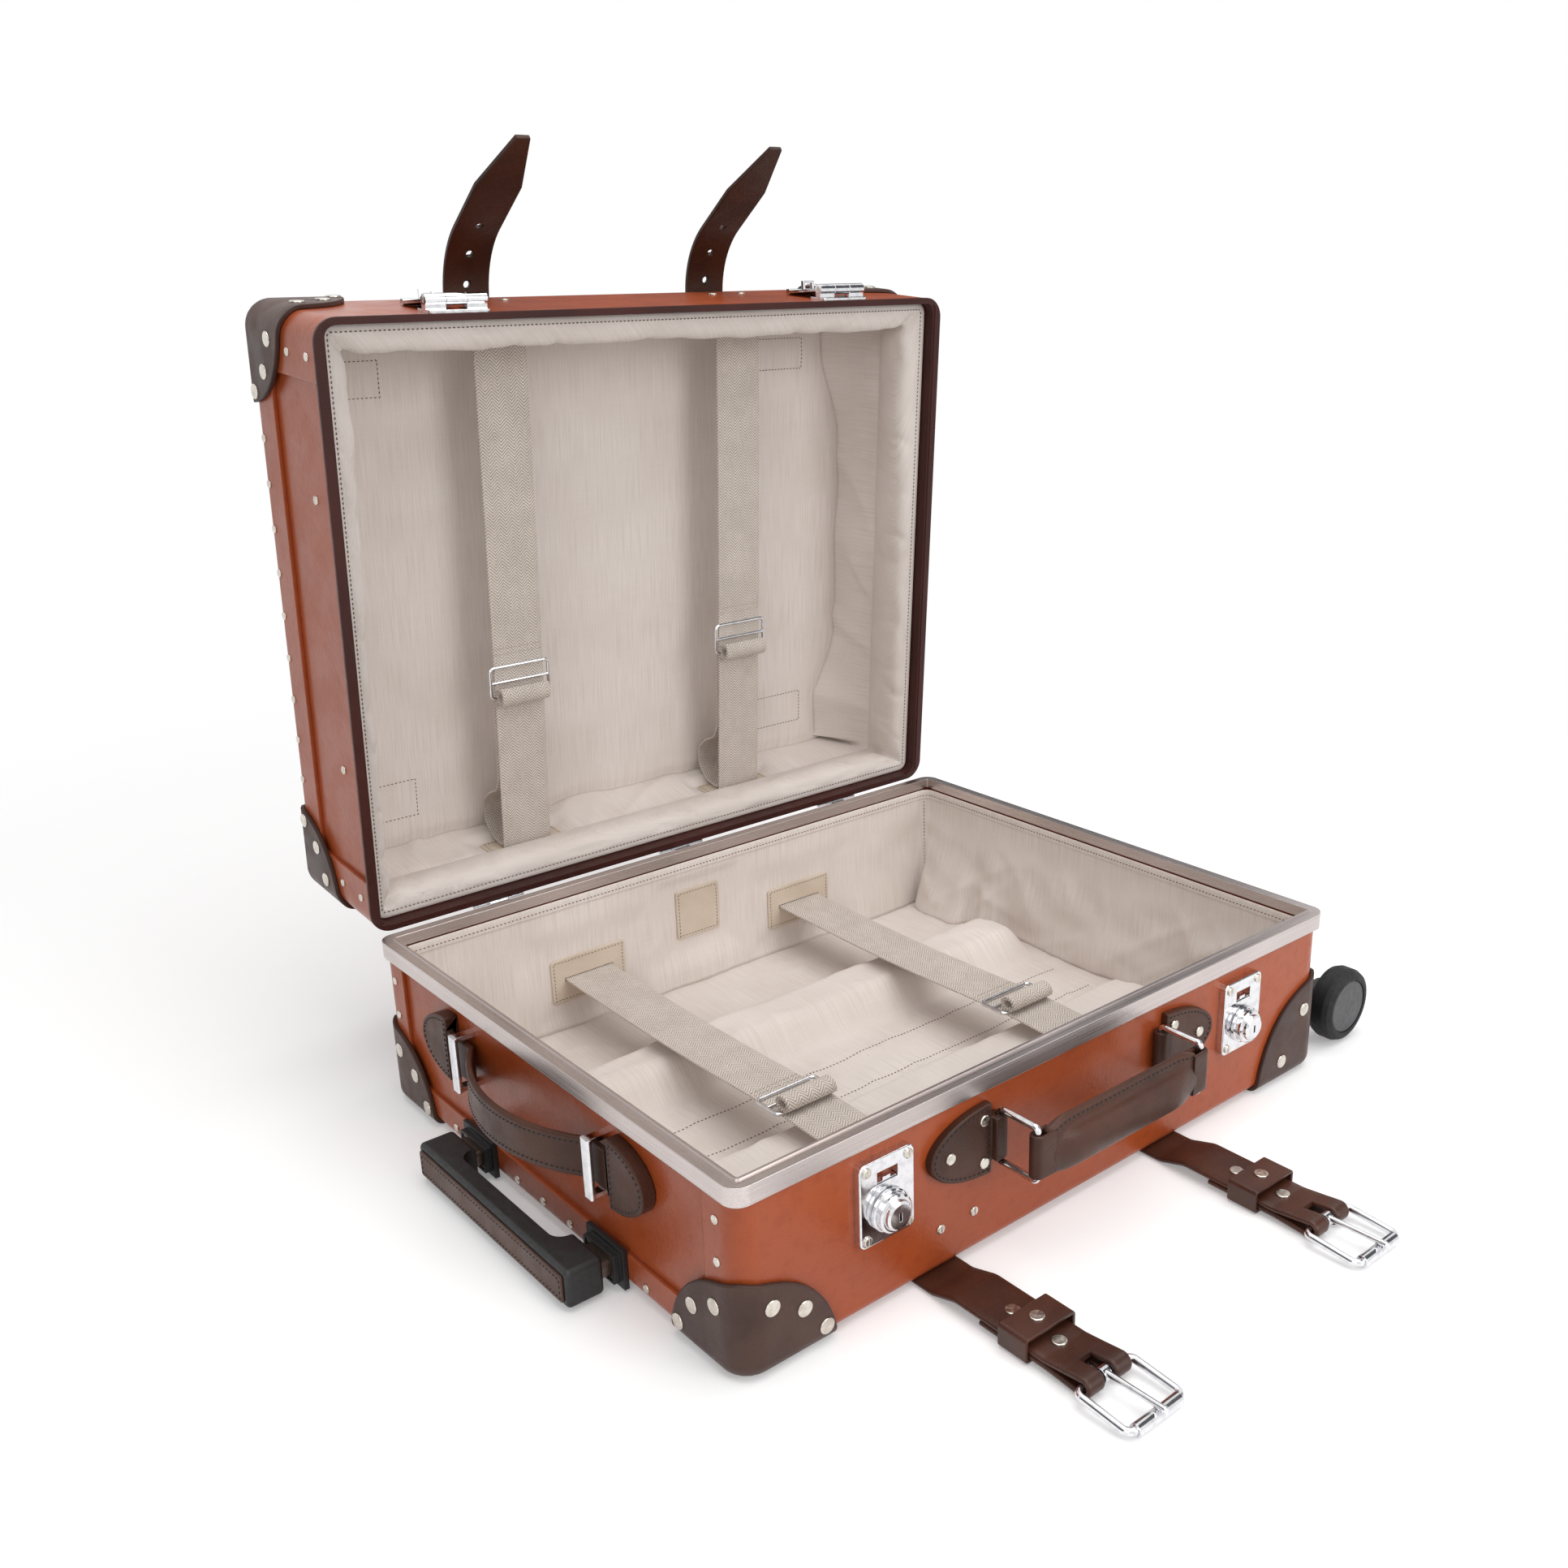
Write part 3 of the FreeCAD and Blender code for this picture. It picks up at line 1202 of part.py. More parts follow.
def under_strap(side):
    """One buckle strap: flat under the base, lifted over its turned-back end, folded at the bar."""
    x = under_strap_x[side]
    main = band([(STRAP_REAR, leather / 2), (lift_y, leather / 2), (lift_y - 18.0, upper_z),
                 (join_y, upper_z), (bar_y, bar_z + FOLD_INSIDE + leather / 2)], leather, x, s.strap_width)
    back = band([(bar_y, bar_z - FOLD_INSIDE - leather / 2), (join_y, lower_z),
                 (bar_y + RETURN_END, lower_z)], leather, x, s.strap_width)
    width = float(s.strap_width)
    start = V(x - width / 2, bar_y, bar_z)
    roll = Part.makeCylinder(FOLD_INSIDE + leather, width, start, V(1, 0, 0))
    roll = roll.cut(Part.makeCylinder(FOLD_INSIDE, width, start, V(1, 0, 0)))
    roll = roll.common(Part.makeBox(width, 20, 40, V(x - width / 2, bar_y - 20, -10)))
    slot = Part.makeBox(PRONG_SLOT, 24, 40, V(x - PRONG_SLOT / 2, bar_y - 12, -5))
    return main.fuse([back, roll]).cut(slot).removeSplitter()


node("under_straps", solid(Part.makeCompound([under_strap(side) for side in SIDES])))

keeper_y = float(front) - 62.0
KEEPER_WIDTH = 20.0
KEEPER_LEATHER = 2.0
KEEPER_TOP = 12.4


def strap_keeper(side):
    """A leather loop round the strap and its turned-back end."""
    x = under_strap_x[side]
    half = s.strap_width / 2 + 0.3
    outer = block(x - half - KEEPER_LEATHER, x + half + KEEPER_LEATHER, keeper_y - KEEPER_WIDTH, keeper_y,
                  0.05, KEEPER_TOP + KEEPER_LEATHER)
    inner = block(x - half, x + half, keeper_y - KEEPER_WIDTH - 1, keeper_y + 1,
                  0.05 + KEEPER_LEATHER, KEEPER_TOP)
    return cut(rounded(outer, (along("Y"), 2.5)), inner)


node("strap_keepers", group(*[strap_keeper(side) for side in SIDES]))
strap_top = upper_z + leather / 2
for side in SIDES:
    x = under_strap_x[side]
    for y, z in ((keeper_y + 7.0, strap_top), (keeper_y - KEEPER_WIDTH / 2, KEEPER_TOP + KEEPER_LEATHER),
                 (keeper_y - KEEPER_WIDTH - 5.5, strap_top)):
        handle_rivets.append(rivet(4.2, 1.0, V(x, y, z), V(0, 0, 1)))
node("handle_rivets", solid(Part.makeCompound(handle_rivets)))

# Roller buckles: wire frame, roller on the outer bar, prong on the inner bar, resting on the floor

buckle_tilt = math.degrees(math.asin((bar_z - float(s.roller_radius) - 0.1) / float(s.buckle_length)))


def laid_down(shape, x):
    """Move a buckle piece from its own flat frame to the strap's end, tilted to the floor."""
    moved = shape.copy()
    moved.Placement = FreeCAD.Placement(V(x, bar_y, bar_z), FreeCAD.Rotation(AXES["X"], buckle_tilt))
    return moved


def buckle_frame():
    """The rectangular wire frame, inner bar on the X axis."""
    half = float(s.strap_width / 2 + s.buckle_side_room)
    length = float(s.buckle_length)
    corners = [V(-half, 0, 0), V(-half, -length, 0), V(half, -length, 0), V(half, 0, 0)]
    return wire_loop(corners, 4.5, float(s.buckle_wire))


def buckle_roller():
    """The loose tube on the outer bar."""
    width = float(s.strap_width)
    start = V(-width / 2, -float(s.buckle_length), 0)
    tube_shape = Part.makeCylinder(float(s.roller_radius), width, start, V(1, 0, 0))
    return tube_shape.cut(Part.makeCylinder(float(s.buckle_wire + s.running_gap), width, start, V(1, 0, 0)))


PRONG_RADIUS = 1.7
PRONG_EYE = 5.0
PRONG_REST = 0.3


def buckle_prong():
    """The prong: an eye round the inner bar and a rod that rests on the roller."""
    wire, length = float(s.buckle_wire), float(s.buckle_length)
    eye = Part.makeCylinder(wire + 2.0, PRONG_EYE, V(-PRONG_EYE / 2, 0, 0), V(1, 0, 0))
    root = V(0, -wire, wire)
    tip = V(0, -length - 4.0, float(s.roller_radius) + PRONG_RADIUS + PRONG_REST + 0.3)
    rod_shape = Part.makeCylinder(PRONG_RADIUS, (tip - root).Length, root, tip - root)
    point = Part.makeSphere(PRONG_RADIUS, tip)
    bore = Part.makeCylinder(wire + float(s.running_gap), 20, V(-10, 0, 0), V(1, 0, 0))
    return eye.fuse([rod_shape, point]).cut(bore).removeSplitter()


for side, name in zip(SIDES, ("left", "right")):
    x = under_strap_x[side]
    node("buckle_frame_" + name, solid(laid_down(buckle_frame(), x)))
    node("buckle_prong_" + name, solid(laid_down(buckle_prong(), x)))
    node("buckle_roller_" + name, solid(laid_down(buckle_roller(), x)))

# Lid boards and the dark binding round the lid's edge

lid_hollow = tray_block(-s.board, lid_wall_bottom - 1, lid_board_top - s.board,
                        roof_radius=s.edge_radius - s.board)
lid_outside = tray_block(dim(0), lid_wall_bottom, lid_board_top, roof_radius=s.edge_radius)
node("lid_wrap", cut(lid_outside, lid_hollow,
                     *end_windows(s.lid_flap_width, lid_wall_bottom - 1,
                                  lid_board_top - s.lid_strip_height)), moves_with_lid=True)
node("lid_end_panels", group(*[end_board(side, lid_wall_bottom, lid_board_top - s.edge_radius)
                               for side in SIDES]), moves_with_lid=True)
binding_lip = cut(tray_block(s.lid_rim_proud, lid_edge, lid_wall_bottom),
                  within_binding(s.lid_rim_wall, lid_edge - 1, lid_wall_bottom + 1))
binding_wall = cut(within_binding(dim(0), lid_edge, lid_edge + s.lid_rim_height),
                   within_binding(s.lid_rim_wall, lid_edge - 1, lid_edge + s.lid_rim_height + 1))
hem_seat = ring_band(-s.lid_rim_shown, binding_inside - 1, lid_edge - 1, lid_edge + s.lid_hem_seat,
                     s.rim_corner_radius)
node("lid_rim", cut(fuse(binding_lip, binding_wall), hem_seat), moves_with_lid=True)

# Hasps on the lid's front wall: fixed plate with two knuckles, pin, and a flap with its staple

KNUCKLE_HALF = 6.8
hasp_pin = s.hinge_pin
STAPLE_HALF = 5.0
STAPLE_LEG = 1.8
STAPLE_DEPTH = 6.3
STAPLE_BRIDGE = 1.4
STAPLE_LOW = 0.4
STAPLE_HIGH = 2.9
LIP_LENGTH = 5.0
LIP_PROUD = 1.1
FLAP_LEAN_DEGREES = 7.0


def hasp_plate(side):
    """The plate on the lid with its two outer knuckles."""
    x = side * lock_x
    half = s.hasp_width / 2
    plate = rounded(block(x - half, x + half, front - s.hasp_plate, front,
                          lid_wall_bottom + 0.5, lid_wall_bottom + 17), (along("Y"), 2.0))
    pieces = [plate]
    for end in SIDES:
        x0, x1 = sorted((x + end * half, x + end * KNUCKLE_HALF), key=float)
        pieces.append(block(x0, x1, hasp_y, front - s.hasp_plate + 0.2, hasp_z - 2.4, hasp_z + 2.4))
        pieces.append(rod("X", s.hasp_knuckle, x1 - x0, x0, hasp_y, hasp_z))
    bore = rod("X", hasp_pin, 2 * half + 2, x - half - 1, hasp_y, hasp_z)
    return cut(fuse(*pieces), bore)


def hasp_flap(side):
    """The flap folded open and leaning on the lid: knuckle, plate, lip and the lock's staple."""
    x = side * lock_x
    half = s.hasp_flap_width / 2
    t = s.hasp_plate / 2
    end = hasp_z + s.hasp_length
    face = hasp_y - t
    knuckle = rod("X", s.hasp_knuckle, 2 * KNUCKLE_HALF - 0.4, x - KNUCKLE_HALF + 0.2, hasp_y, hasp_z)
    neck = block(x - KNUCKLE_HALF + 0.2, x + KNUCKLE_HALF - 0.2, face, hasp_y + t,
                 hasp_z, hasp_z + s.hasp_knuckle + 2)
    leaf = rounded(block(x - half, x + half, face, hasp_y + t, hasp_z + s.hasp_knuckle + 0.4, end),
                   (along("Y"), 2.0))
    lip = rounded(block(x - half, x + half, face - LIP_PROUD, hasp_y + t + LIP_PROUD, end - LIP_LENGTH, end),
                  (along("X"), 1.8))
    slot_mirror = 2 * hasp_z - slot_z
    staple = block(x - STAPLE_HALF, x + STAPLE_HALF, face - STAPLE_DEPTH, face + 0.2,
                   slot_mirror - STAPLE_HIGH, slot_mirror - STAPLE_LOW)
    eye = block(x - STAPLE_HALF + STAPLE_LEG, x + STAPLE_HALF - STAPLE_LEG,
                face - STAPLE_DEPTH + STAPLE_BRIDGE, face,
                slot_mirror - STAPLE_HIGH - 1, slot_mirror - STAPLE_LOW + 1)
    bore = rod("X", hasp_pin + s.running_gap, s.hasp_width + 2, x - s.hasp_width / 2 - 1, hasp_y, hasp_z)
    flap = cut(fuse(knuckle, neck, leaf, lip, cut(staple, eye)), bore)
    pivot = V(0, float(hasp_y), float(hasp_z))
    flap.Placement = FreeCAD.Placement(V(), FreeCAD.Rotation(AXES["X"], -FLAP_LEAN_DEGREES), pivot)
    return flap


node("hasp_plates", group(*[hasp_plate(side) for side in SIDES]), moves_with_lid=True)
for side, name in zip(SIDES, ("left", "right")):
    node("hasp_flap_" + name, hasp_flap(side), moves_with_lid=True)

# Tongue straps: leather along the lid, curling past its front edge to a point with three holes

tongue_level = float(s.case_depth) - leather / 2
tongue_start = float(front)
TONGUE_HOLES = (8.0, 29.0, 53.0)
TONGUE_HOLE = 2.3
TONGUE_TAPER = 44.0
TONGUE_TIP_HALF = 4.5


def tongue_strap(side):
    """One tongue: a flat run on the lid, a bend past the edge and a straight point."""
    x = side * float(strap_x)
    width = float(s.strap_width)
    radius = float(s.tongue_radius)
    sweep = math.radians(float(s.tongue_sweep_degrees))
    centre = V(x - width / 2, tongue_start, tongue_level - radius)
    flat = Part.makeBox(width, STRAP_REAR - tongue_start, leather,
                        V(x - width / 2, tongue_start, tongue_level - leather / 2))
    shell = Part.makeCylinder(radius + leather / 2, width, centre, V(1, 0, 0))
    shell = shell.cut(Part.makeCylinder(radius - leather / 2, width, centre, V(1, 0, 0)))
    reach = 3 * radius
    end = V(0, -math.sin(sweep), math.cos(sweep)) * reach
    corner = V(0, -reach * math.tan(sweep / 2), reach)
    wedge_wire = Part.makePolygon([centre, centre + V(0, 0, reach), centre + corner, centre + end, centre])
    curl = shell.common(Part.Face(wedge_wire).extrude(V(width, 0, 0)))

    bend = radius * sweep
    length = float(s.tongue_length)

    def station(run):
        """Local frame on the tongue: X across, Y back along it, Z out of the leather."""
        turn = min(run, bend) / radius
        past = max(run - bend, 0.0)
        spot = V(x, tongue_start - radius * math.sin(turn) - past * math.cos(turn),
                 tongue_level - radius + radius * math.cos(turn) - past * math.sin(turn))
        return FreeCAD.Placement(spot, FreeCAD.Rotation(AXES["X"], math.degrees(turn)))

    point = Part.makeBox(width, length - bend, leather, V(-width / 2, 0, -leather / 2))
    point.Placement = station(length).multiply(point.Placement)

    tools = []
    for run in TONGUE_HOLES:
        hole = Part.makeCylinder(TONGUE_HOLE, 20, V(0, 0, -10))
        hole.Placement = station(run).multiply(hole.Placement)
        tools.append(hole)
    for end_side in SIDES:
        corners = [V(end_side * width / 2, TONGUE_TAPER, -30), V(end_side * TONGUE_TIP_HALF, -1, -30),
                   V(end_side * width, -1, -30), V(end_side * width, TONGUE_TAPER, -30)]
        trim = Part.Face(Part.makePolygon(corners + corners[:1])).extrude(V(0, 0, 60))
        trim.Placement = station(length)
        tools.append(trim)
    return flat.fuse([curl, point]).cut(tools).removeSplitter()


node("tongue_straps", solid(Part.makeCompound([tongue_strap(side) for side in SIDES])), moves_with_lid=True)

# Hinges: three along the rear, base leaf on the board under the rim, lid leaf on the lid's wall, one pin each

hinge_places = [index * s.hinge_spacing for index in (-1, 0, 1)]
HINGE_GAP = 0.2
LEAF_HEIGHT = 14.0
hinge_mid = s.hinge_width / 6


def base_leaf(x):
    """A leaf on the rear board, stepped out over the rim, with the two outer knuckles."""
    half = s.hinge_width / 2
    seat = half_width + s.rim_proud
    pieces = [block(x - half, x + half, seat, seat + s.hinge_leaf,
                    hinge_z - s.hinge_knuckle - LEAF_HEIGHT, hinge_z - s.hinge_knuckle - 0.4),
              block(x - half, x + half, half_width, seat + 0.2,
                    hinge_z - s.hinge_knuckle - LEAF_HEIGHT, rim_foot - 0.05)]
    for end in SIDES:
        x0, x1 = sorted((x + end * half, x + end * (hinge_mid + HINGE_GAP)), key=float)
        pieces.append(block(x0, x1, seat, hinge_y, hinge_z - s.hinge_knuckle - 1.2, hinge_z - 1.0))
        pieces.append(rod("X", s.hinge_knuckle, x1 - x0, x0, hinge_y, hinge_z))
    bore = rod("X", s.hinge_pin + s.running_gap, s.hinge_width + 2, x - half - 1, hinge_y, hinge_z)
    return cut(fuse(*pieces), bore)


def lid_leaf(x):
    """A leaf on the lid's rear wall with the middle knuckle."""
    half = s.hinge_width / 2
    seat = half_width + s.lid_leaf_standoff
    plate = block(x - half, x + half, seat, seat + s.hinge_leaf, lid_edge + 0.4, lid_edge + LEAF_HEIGHT + 4)
    backing = block(x - half, x + half, half_width, seat + 0.2, lid_wall_bottom + 0.05,
                    lid_edge + LEAF_HEIGHT + 4)
    arm = block(x - hinge_mid, x + hinge_mid, seat + 0.8, hinge_y, hinge_z + 1.8, lid_edge + 1.4)
    knuckle = rod("X", s.hinge_knuckle, 2 * hinge_mid, x - hinge_mid, hinge_y, hinge_z)
    bore = rod("X", s.hinge_pin, s.hinge_width + 2, x - half - 1, hinge_y, hinge_z)
    return cut(fuse(plate, backing, arm, knuckle), bore)


node("hinge_base_leaves", group(*[base_leaf(x) for x in hinge_places]))
node("hinge_lid_leaves", group(*[lid_leaf(x) for x in hinge_places]), moves_with_lid=True)
pins = [rod("X", s.hinge_pin, s.hinge_width, x - s.hinge_width / 2, hinge_y, hinge_z) for x in hinge_places]
pins += [rod("X", hasp_pin, s.hasp_width, side * lock_x - s.hasp_width / 2, hasp_y, hasp_z) for side in SIDES]
node("hinge_pins", group(*pins), moves_with_lid=True)

# Turn the lid open about the hinge line, then centre the assembly's box over the origin

doc.recompute()
hinge_point = V(0, float(hinge_y), float(hinge_z))
open_turn = FreeCAD.Placement(V(), FreeCAD.Rotation(AXES["X"], -float(s.lid_open_degrees)), hinge_point)
for label, obj, moves_with_lid in nodes:
    if moves_with_lid:
        obj.Placement = open_turn.multiply(obj.Placement)
doc.recompute()

whole = FreeCAD.BoundBox()
for label, obj, moves_with_lid in nodes:
    whole.add(obj.Shape.BoundBox)
origin_shift = FreeCAD.Placement(V(-whole.Center.x, -whole.Center.y, 0), FreeCAD.Rotation())
for label, obj, moves_with_lid in nodes:
    obj.Placement = origin_shift.multiply(obj.Placement)
doc.recompute()

# Check every object and every sub-part, then write one file for each sub-part

failed = [obj.Name for obj in doc.Objects if "Invalid" in obj.State or "Error" in obj.State]
if failed:
    raise RuntimeError("failed objects: %s" % failed)
if len(nodes) != len(set(label for label, obj, moves in nodes)):
    raise RuntimeError("two sub-parts share a name")
for label, obj, moves_with_lid in nodes:
    if obj.Shape.isNull() or not obj.Shape.isValid() or not obj.Shape.Solids:
        raise RuntimeError("bad shape in " + label)

os.makedirs("parts", exist_ok=True)
for label, obj, moves_with_lid in nodes:
    obj.Shape.exportStep(os.path.join("parts", label + ".step"))
print("wrote %d sub-parts" % len(nodes))
print("case centre moved by", origin_shift.Base, "box", whole)
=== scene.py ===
import json
from math import copysign, cos, dist, exp, pi, radians, sin, sqrt, tan

import bmesh
import bpy
from mathutils import Matrix, Vector, noise

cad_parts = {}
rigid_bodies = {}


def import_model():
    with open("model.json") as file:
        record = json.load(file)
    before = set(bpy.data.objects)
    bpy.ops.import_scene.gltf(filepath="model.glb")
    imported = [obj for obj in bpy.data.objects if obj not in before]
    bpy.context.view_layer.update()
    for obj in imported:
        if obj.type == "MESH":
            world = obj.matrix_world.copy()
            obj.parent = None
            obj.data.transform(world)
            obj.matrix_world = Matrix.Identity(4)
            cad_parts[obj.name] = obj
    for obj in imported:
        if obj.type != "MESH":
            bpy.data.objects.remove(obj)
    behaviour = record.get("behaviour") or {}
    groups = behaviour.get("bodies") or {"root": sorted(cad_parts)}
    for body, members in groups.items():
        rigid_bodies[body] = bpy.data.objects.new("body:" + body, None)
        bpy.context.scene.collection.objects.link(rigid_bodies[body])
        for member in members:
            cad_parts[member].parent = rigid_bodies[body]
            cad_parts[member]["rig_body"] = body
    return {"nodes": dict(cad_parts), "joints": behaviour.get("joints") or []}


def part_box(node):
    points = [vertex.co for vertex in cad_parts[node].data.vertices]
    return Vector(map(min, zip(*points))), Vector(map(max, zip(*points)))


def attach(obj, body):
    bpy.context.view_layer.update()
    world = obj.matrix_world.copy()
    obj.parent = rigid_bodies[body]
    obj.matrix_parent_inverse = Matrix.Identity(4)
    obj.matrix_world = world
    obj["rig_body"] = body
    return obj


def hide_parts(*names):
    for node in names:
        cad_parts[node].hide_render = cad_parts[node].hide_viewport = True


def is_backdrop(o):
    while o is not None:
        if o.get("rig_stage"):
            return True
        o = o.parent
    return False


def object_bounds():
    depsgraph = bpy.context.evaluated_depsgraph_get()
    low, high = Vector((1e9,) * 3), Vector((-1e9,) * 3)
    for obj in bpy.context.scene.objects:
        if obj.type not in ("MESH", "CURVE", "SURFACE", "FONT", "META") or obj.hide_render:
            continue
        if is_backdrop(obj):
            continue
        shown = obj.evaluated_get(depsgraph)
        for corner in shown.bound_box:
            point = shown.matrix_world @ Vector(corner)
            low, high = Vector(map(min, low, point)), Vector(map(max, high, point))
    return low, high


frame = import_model()
construction_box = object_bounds()

# Boards of the base and the lid: vulcanised fibreboard, lacquered tan with a fine leather grain.
# Each half is one sheet folded up at the front and back, with two end panels
# riveted between its flaps and the strip along its long edge.


def rgb(red, green, blue):
    """A colour as it is seen, 0 to 255, in the values that a shader takes."""
    def linear(part):
        part = part / 255
        return part / 12.92 if part <= 0.04045 else ((part + 0.055) / 1.055) ** 2.4
    return (linear(red), linear(green), linear(blue), 1.0)


class Finish:
    """One surface finish: a shader and the nodes that feed it."""

    def __init__(self, name, **sockets):
        self.material = bpy.data.materials.new(name)
        self.material.use_nodes = True
        self.tree = self.material.node_tree
        self.shader = self.tree.nodes["Principled BSDF"]
        self.place = self.tree.nodes.new("ShaderNodeTexCoord").outputs["Object"]
        self.give(**sockets)

    def put(self, socket, value):
        if isinstance(value, bpy.types.NodeSocket):
            self.tree.links.new(value, socket)
        else:
            socket.default_value = value

    def give(self, **sockets):
        """Set the shader's own sockets, named with _ for a space."""
        for name, value in sockets.items():
            self.put(self.shader.inputs[name.replace("_", " ")], value)

    def node(self, kind, inputs=(), **settings):
        made = self.tree.nodes.new("ShaderNode" + kind)
        for name, value in settings.items():
            setattr(made, name, value)
        for name, value in inputs:
            self.put(made.inputs[name], value)
        return made

    def run(self, scale, at=None):
        """The place stretched, for a pattern that has a direction."""
        return self.node("Mapping", (("Vector", at or self.place), ("Scale", scale))).outputs["Vector"]

    def noise(self, scale, detail=2.0, at=None):
        inputs = (("Vector", at or self.place), ("Scale", scale), ("Detail", detail))
        return self.node("TexNoise", inputs).outputs["Fac"]

    def cells(self, scale):
        return self.node("TexVoronoi", (("Vector", self.place), ("Scale", scale))).outputs["Distance"]

    def maths(self, operation, first, second=0.0):
        made = self.node("Math", ((0, first), (1, second)), operation=operation)
        return made.outputs["Value"]

    def between(self, value, low, high, to_low=0.0, to_high=1.0):
        """The value spread from one span on to another."""
        inputs = (("Value", value), ("From Min", low), ("From Max", high), ("To Min", to_low), ("To Max", to_high))
        return self.node("MapRange", inputs, interpolation_type="SMOOTHSTEP").outputs["Result"]

    def mix(self, share, first, second):
        made = self.node("Mix", ((0, share), (6, first), (7, second)), data_type="RGBA")
        return made.outputs[2]

    def mottle(self, first, second, scale, detail, low=0.3, high=0.7):
        """Two colours in soft clouds."""
        return self.mix(self.between(self.noise(scale, detail), low, high), first, second)

    def edges(self, radius):
        """1 along sharp edges, 0 away from them."""
        rounded = self.node("Bevel", (("Radius", radius),), samples=6).outputs["Normal"]
        plain = self.node("NewGeometry").outputs["Normal"]
        dot = self.node("VectorMath", ((0, rounded), (1, plain)), operation="DOT_PRODUCT").outputs["Value"]
        return self.between(dot, 0.995, 0.8)

    def relief(self, *layers, rounding=None):
        """Bumps, each a height and the depth it stands for; rounding softens hard edges first."""
        normal = None
        if rounding:
            normal = self.node("Bevel", (("Radius", rounding),), samples=6).outputs["Normal"]
        for height, depth in layers:
            bump = self.node("Bump", (("Height", height), ("Distance", depth), ("Strength", 0.8)))
            if normal:
                self.put(bump.inputs["Normal"], normal)
            normal = bump.outputs["Normal"]
        self.give(Normal=normal)


def dress(finish, *nodes):
    """Give construction nodes a finish."""
    for name in nodes:
        mesh = frame["nodes"][name].data
        mesh.materials.clear()
        mesh.materials.append(finish.material)


board = Finish("tan_fibreboard", Coat_Weight=0.2, Coat_Roughness=0.2, Specular_IOR_Level=0.3)
tint = board.mottle(rgb(155, 69, 31), rgb(166, 77, 37), 7.0, 3.0)
tint = board.mix(board.between(board.noise(160.0, 3.0), 0.45, 0.75, 0.0, 0.35), tint, rgb(142, 54, 22))
rubbed = board.maths("MULTIPLY", board.edges(0.003), board.noise(90.0, 2.0))
tint = board.mix(board.maths("MULTIPLY", rubbed, 0.6), tint, rgb(205, 118, 76))
board.give(Base_Color=tint, Roughness=board.between(board.noise(40.0, 3.0), 0.3, 0.7, 0.3, 0.42))
board.relief((board.noise(22.0, 2.0), 0.0006), (board.cells(430.0), 0.00013), (board.noise(820.0, 2.0), 0.00008),
             rounding=0.0015)
dress(board, "base_wrap", "lid_wrap", "base_end_panels", "lid_end_panels")

# Rim of the base: satin aluminium extrusion bent round the corners and closed at a mitre,
# pressed over the edge of the board, with a ledge that the lid closes on and a low bead inside.

rim = Finish("satin_aluminium", Metallic=1.0, Anisotropic=0.4)
low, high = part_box("base_wrap")
case_centre = (low + high) / 2
half_case = (high - low) / 2
apart = rim.node("SeparateXYZ", (("Vector", rim.place),)).outputs
from_x = rim.maths("ABSOLUTE", rim.maths("SUBTRACT", apart["X"], case_centre.x))
from_y = rim.maths("ABSOLUTE", rim.maths("SUBTRACT", apart["Y"], case_centre.y))
on_long_side = rim.maths("GREATER_THAN", rim.maths("SUBTRACT", from_y, half_case.y),
                         rim.maths("SUBTRACT", from_x, half_case.x))
along_x = rim.noise(1.0, 3.0, rim.run((6.0, 1500.0, 1500.0)))
along_y = rim.noise(1.0, 3.0, rim.run((1500.0, 6.0, 1500.0)))
brushed = rim.node("Mix", ((0, on_long_side), (2, along_y), (3, along_x)), data_type="FLOAT").outputs[0]
tint = rim.mottle(rgb(212, 202, 199), rgb(198, 188, 185), 9.0, 2.0, 0.35, 0.65)
rim.give(Base_Color=rim.mix(rim.between(brushed, 0.35, 0.65, 0.0, 0.25), tint, rgb(170, 160, 157)),
         Roughness=rim.between(brushed, 0.3, 0.7, 0.24, 0.38))
rim.relief((brushed, 0.00003), rounding=0.0006)
dress(rim, "base_rim")

# Binding of the lid: a maroon lacquered fibre strip bent over the edge of the board,
# finely pored, with a painted highlight that makes its edges a little paler.

binding = Finish("maroon_binding", Coat_Weight=0.08, Coat_Roughness=0.3, Specular_IOR_Level=0.2)
tint = binding.mottle(rgb(52, 21, 17), rgb(64, 28, 23), 14.0, 3.0)
# painted highlight: the binding's edges are mixed towards a paler maroon
tint = binding.mix(binding.maths("MULTIPLY", binding.edges(0.0012), 0.35), tint, rgb(92, 50, 42))
binding.give(Base_Color=tint, Roughness=binding.between(binding.noise(120.0, 3.0), 0.3, 0.7, 0.32, 0.48))
binding.relief((binding.cells(700.0), 0.00008), rounding=0.0007)
dress(binding, "lid_rim")

# Leather corners: thick dark-brown hide moulded wet over each corner and riveted,
# its cut edges inked almost black.


def leather(name, colour, dark, edge, edge_width=0.0016, shine=0.08):
    """Waxed hide: fine pores, soft creases, darker worn patches and inked edges."""
    made = Finish(name, Coat_Weight=shine, Coat_Roughness=0.28, Specular_IOR_Level=0.25)
    tint = made.mottle(colour, dark, 28.0, 4.0, 0.32, 0.7)
    tint = made.mix(made.between(made.noise(380.0, 2.0), 0.5, 0.8, 0.0, 0.3), tint, dark)
    inked = made.edges(edge_width)
    made.give(Base_Color=made.mix(inked, tint, edge),
              Roughness=made.between(made.noise(60.0, 3.0), 0.3, 0.7, 0.4, 0.56))
    made.relief((made.noise(55.0, 3.0), 0.0004), (made.cells(850.0), 0.00014), (made.noise(1500.0, 2.0), 0.00006),
                rounding=0.0007)
    return made


def put_in_scene(name, data):
    """A new object in the scene."""
    obj = bpy.data.objects.new(name, data)
    bpy.context.scene.collection.objects.link(obj)
    return obj


def belong(obj, body, node):
    """Say which body carries a piece and hide the construction node it takes the place of."""
    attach(obj, body)
    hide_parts(node)


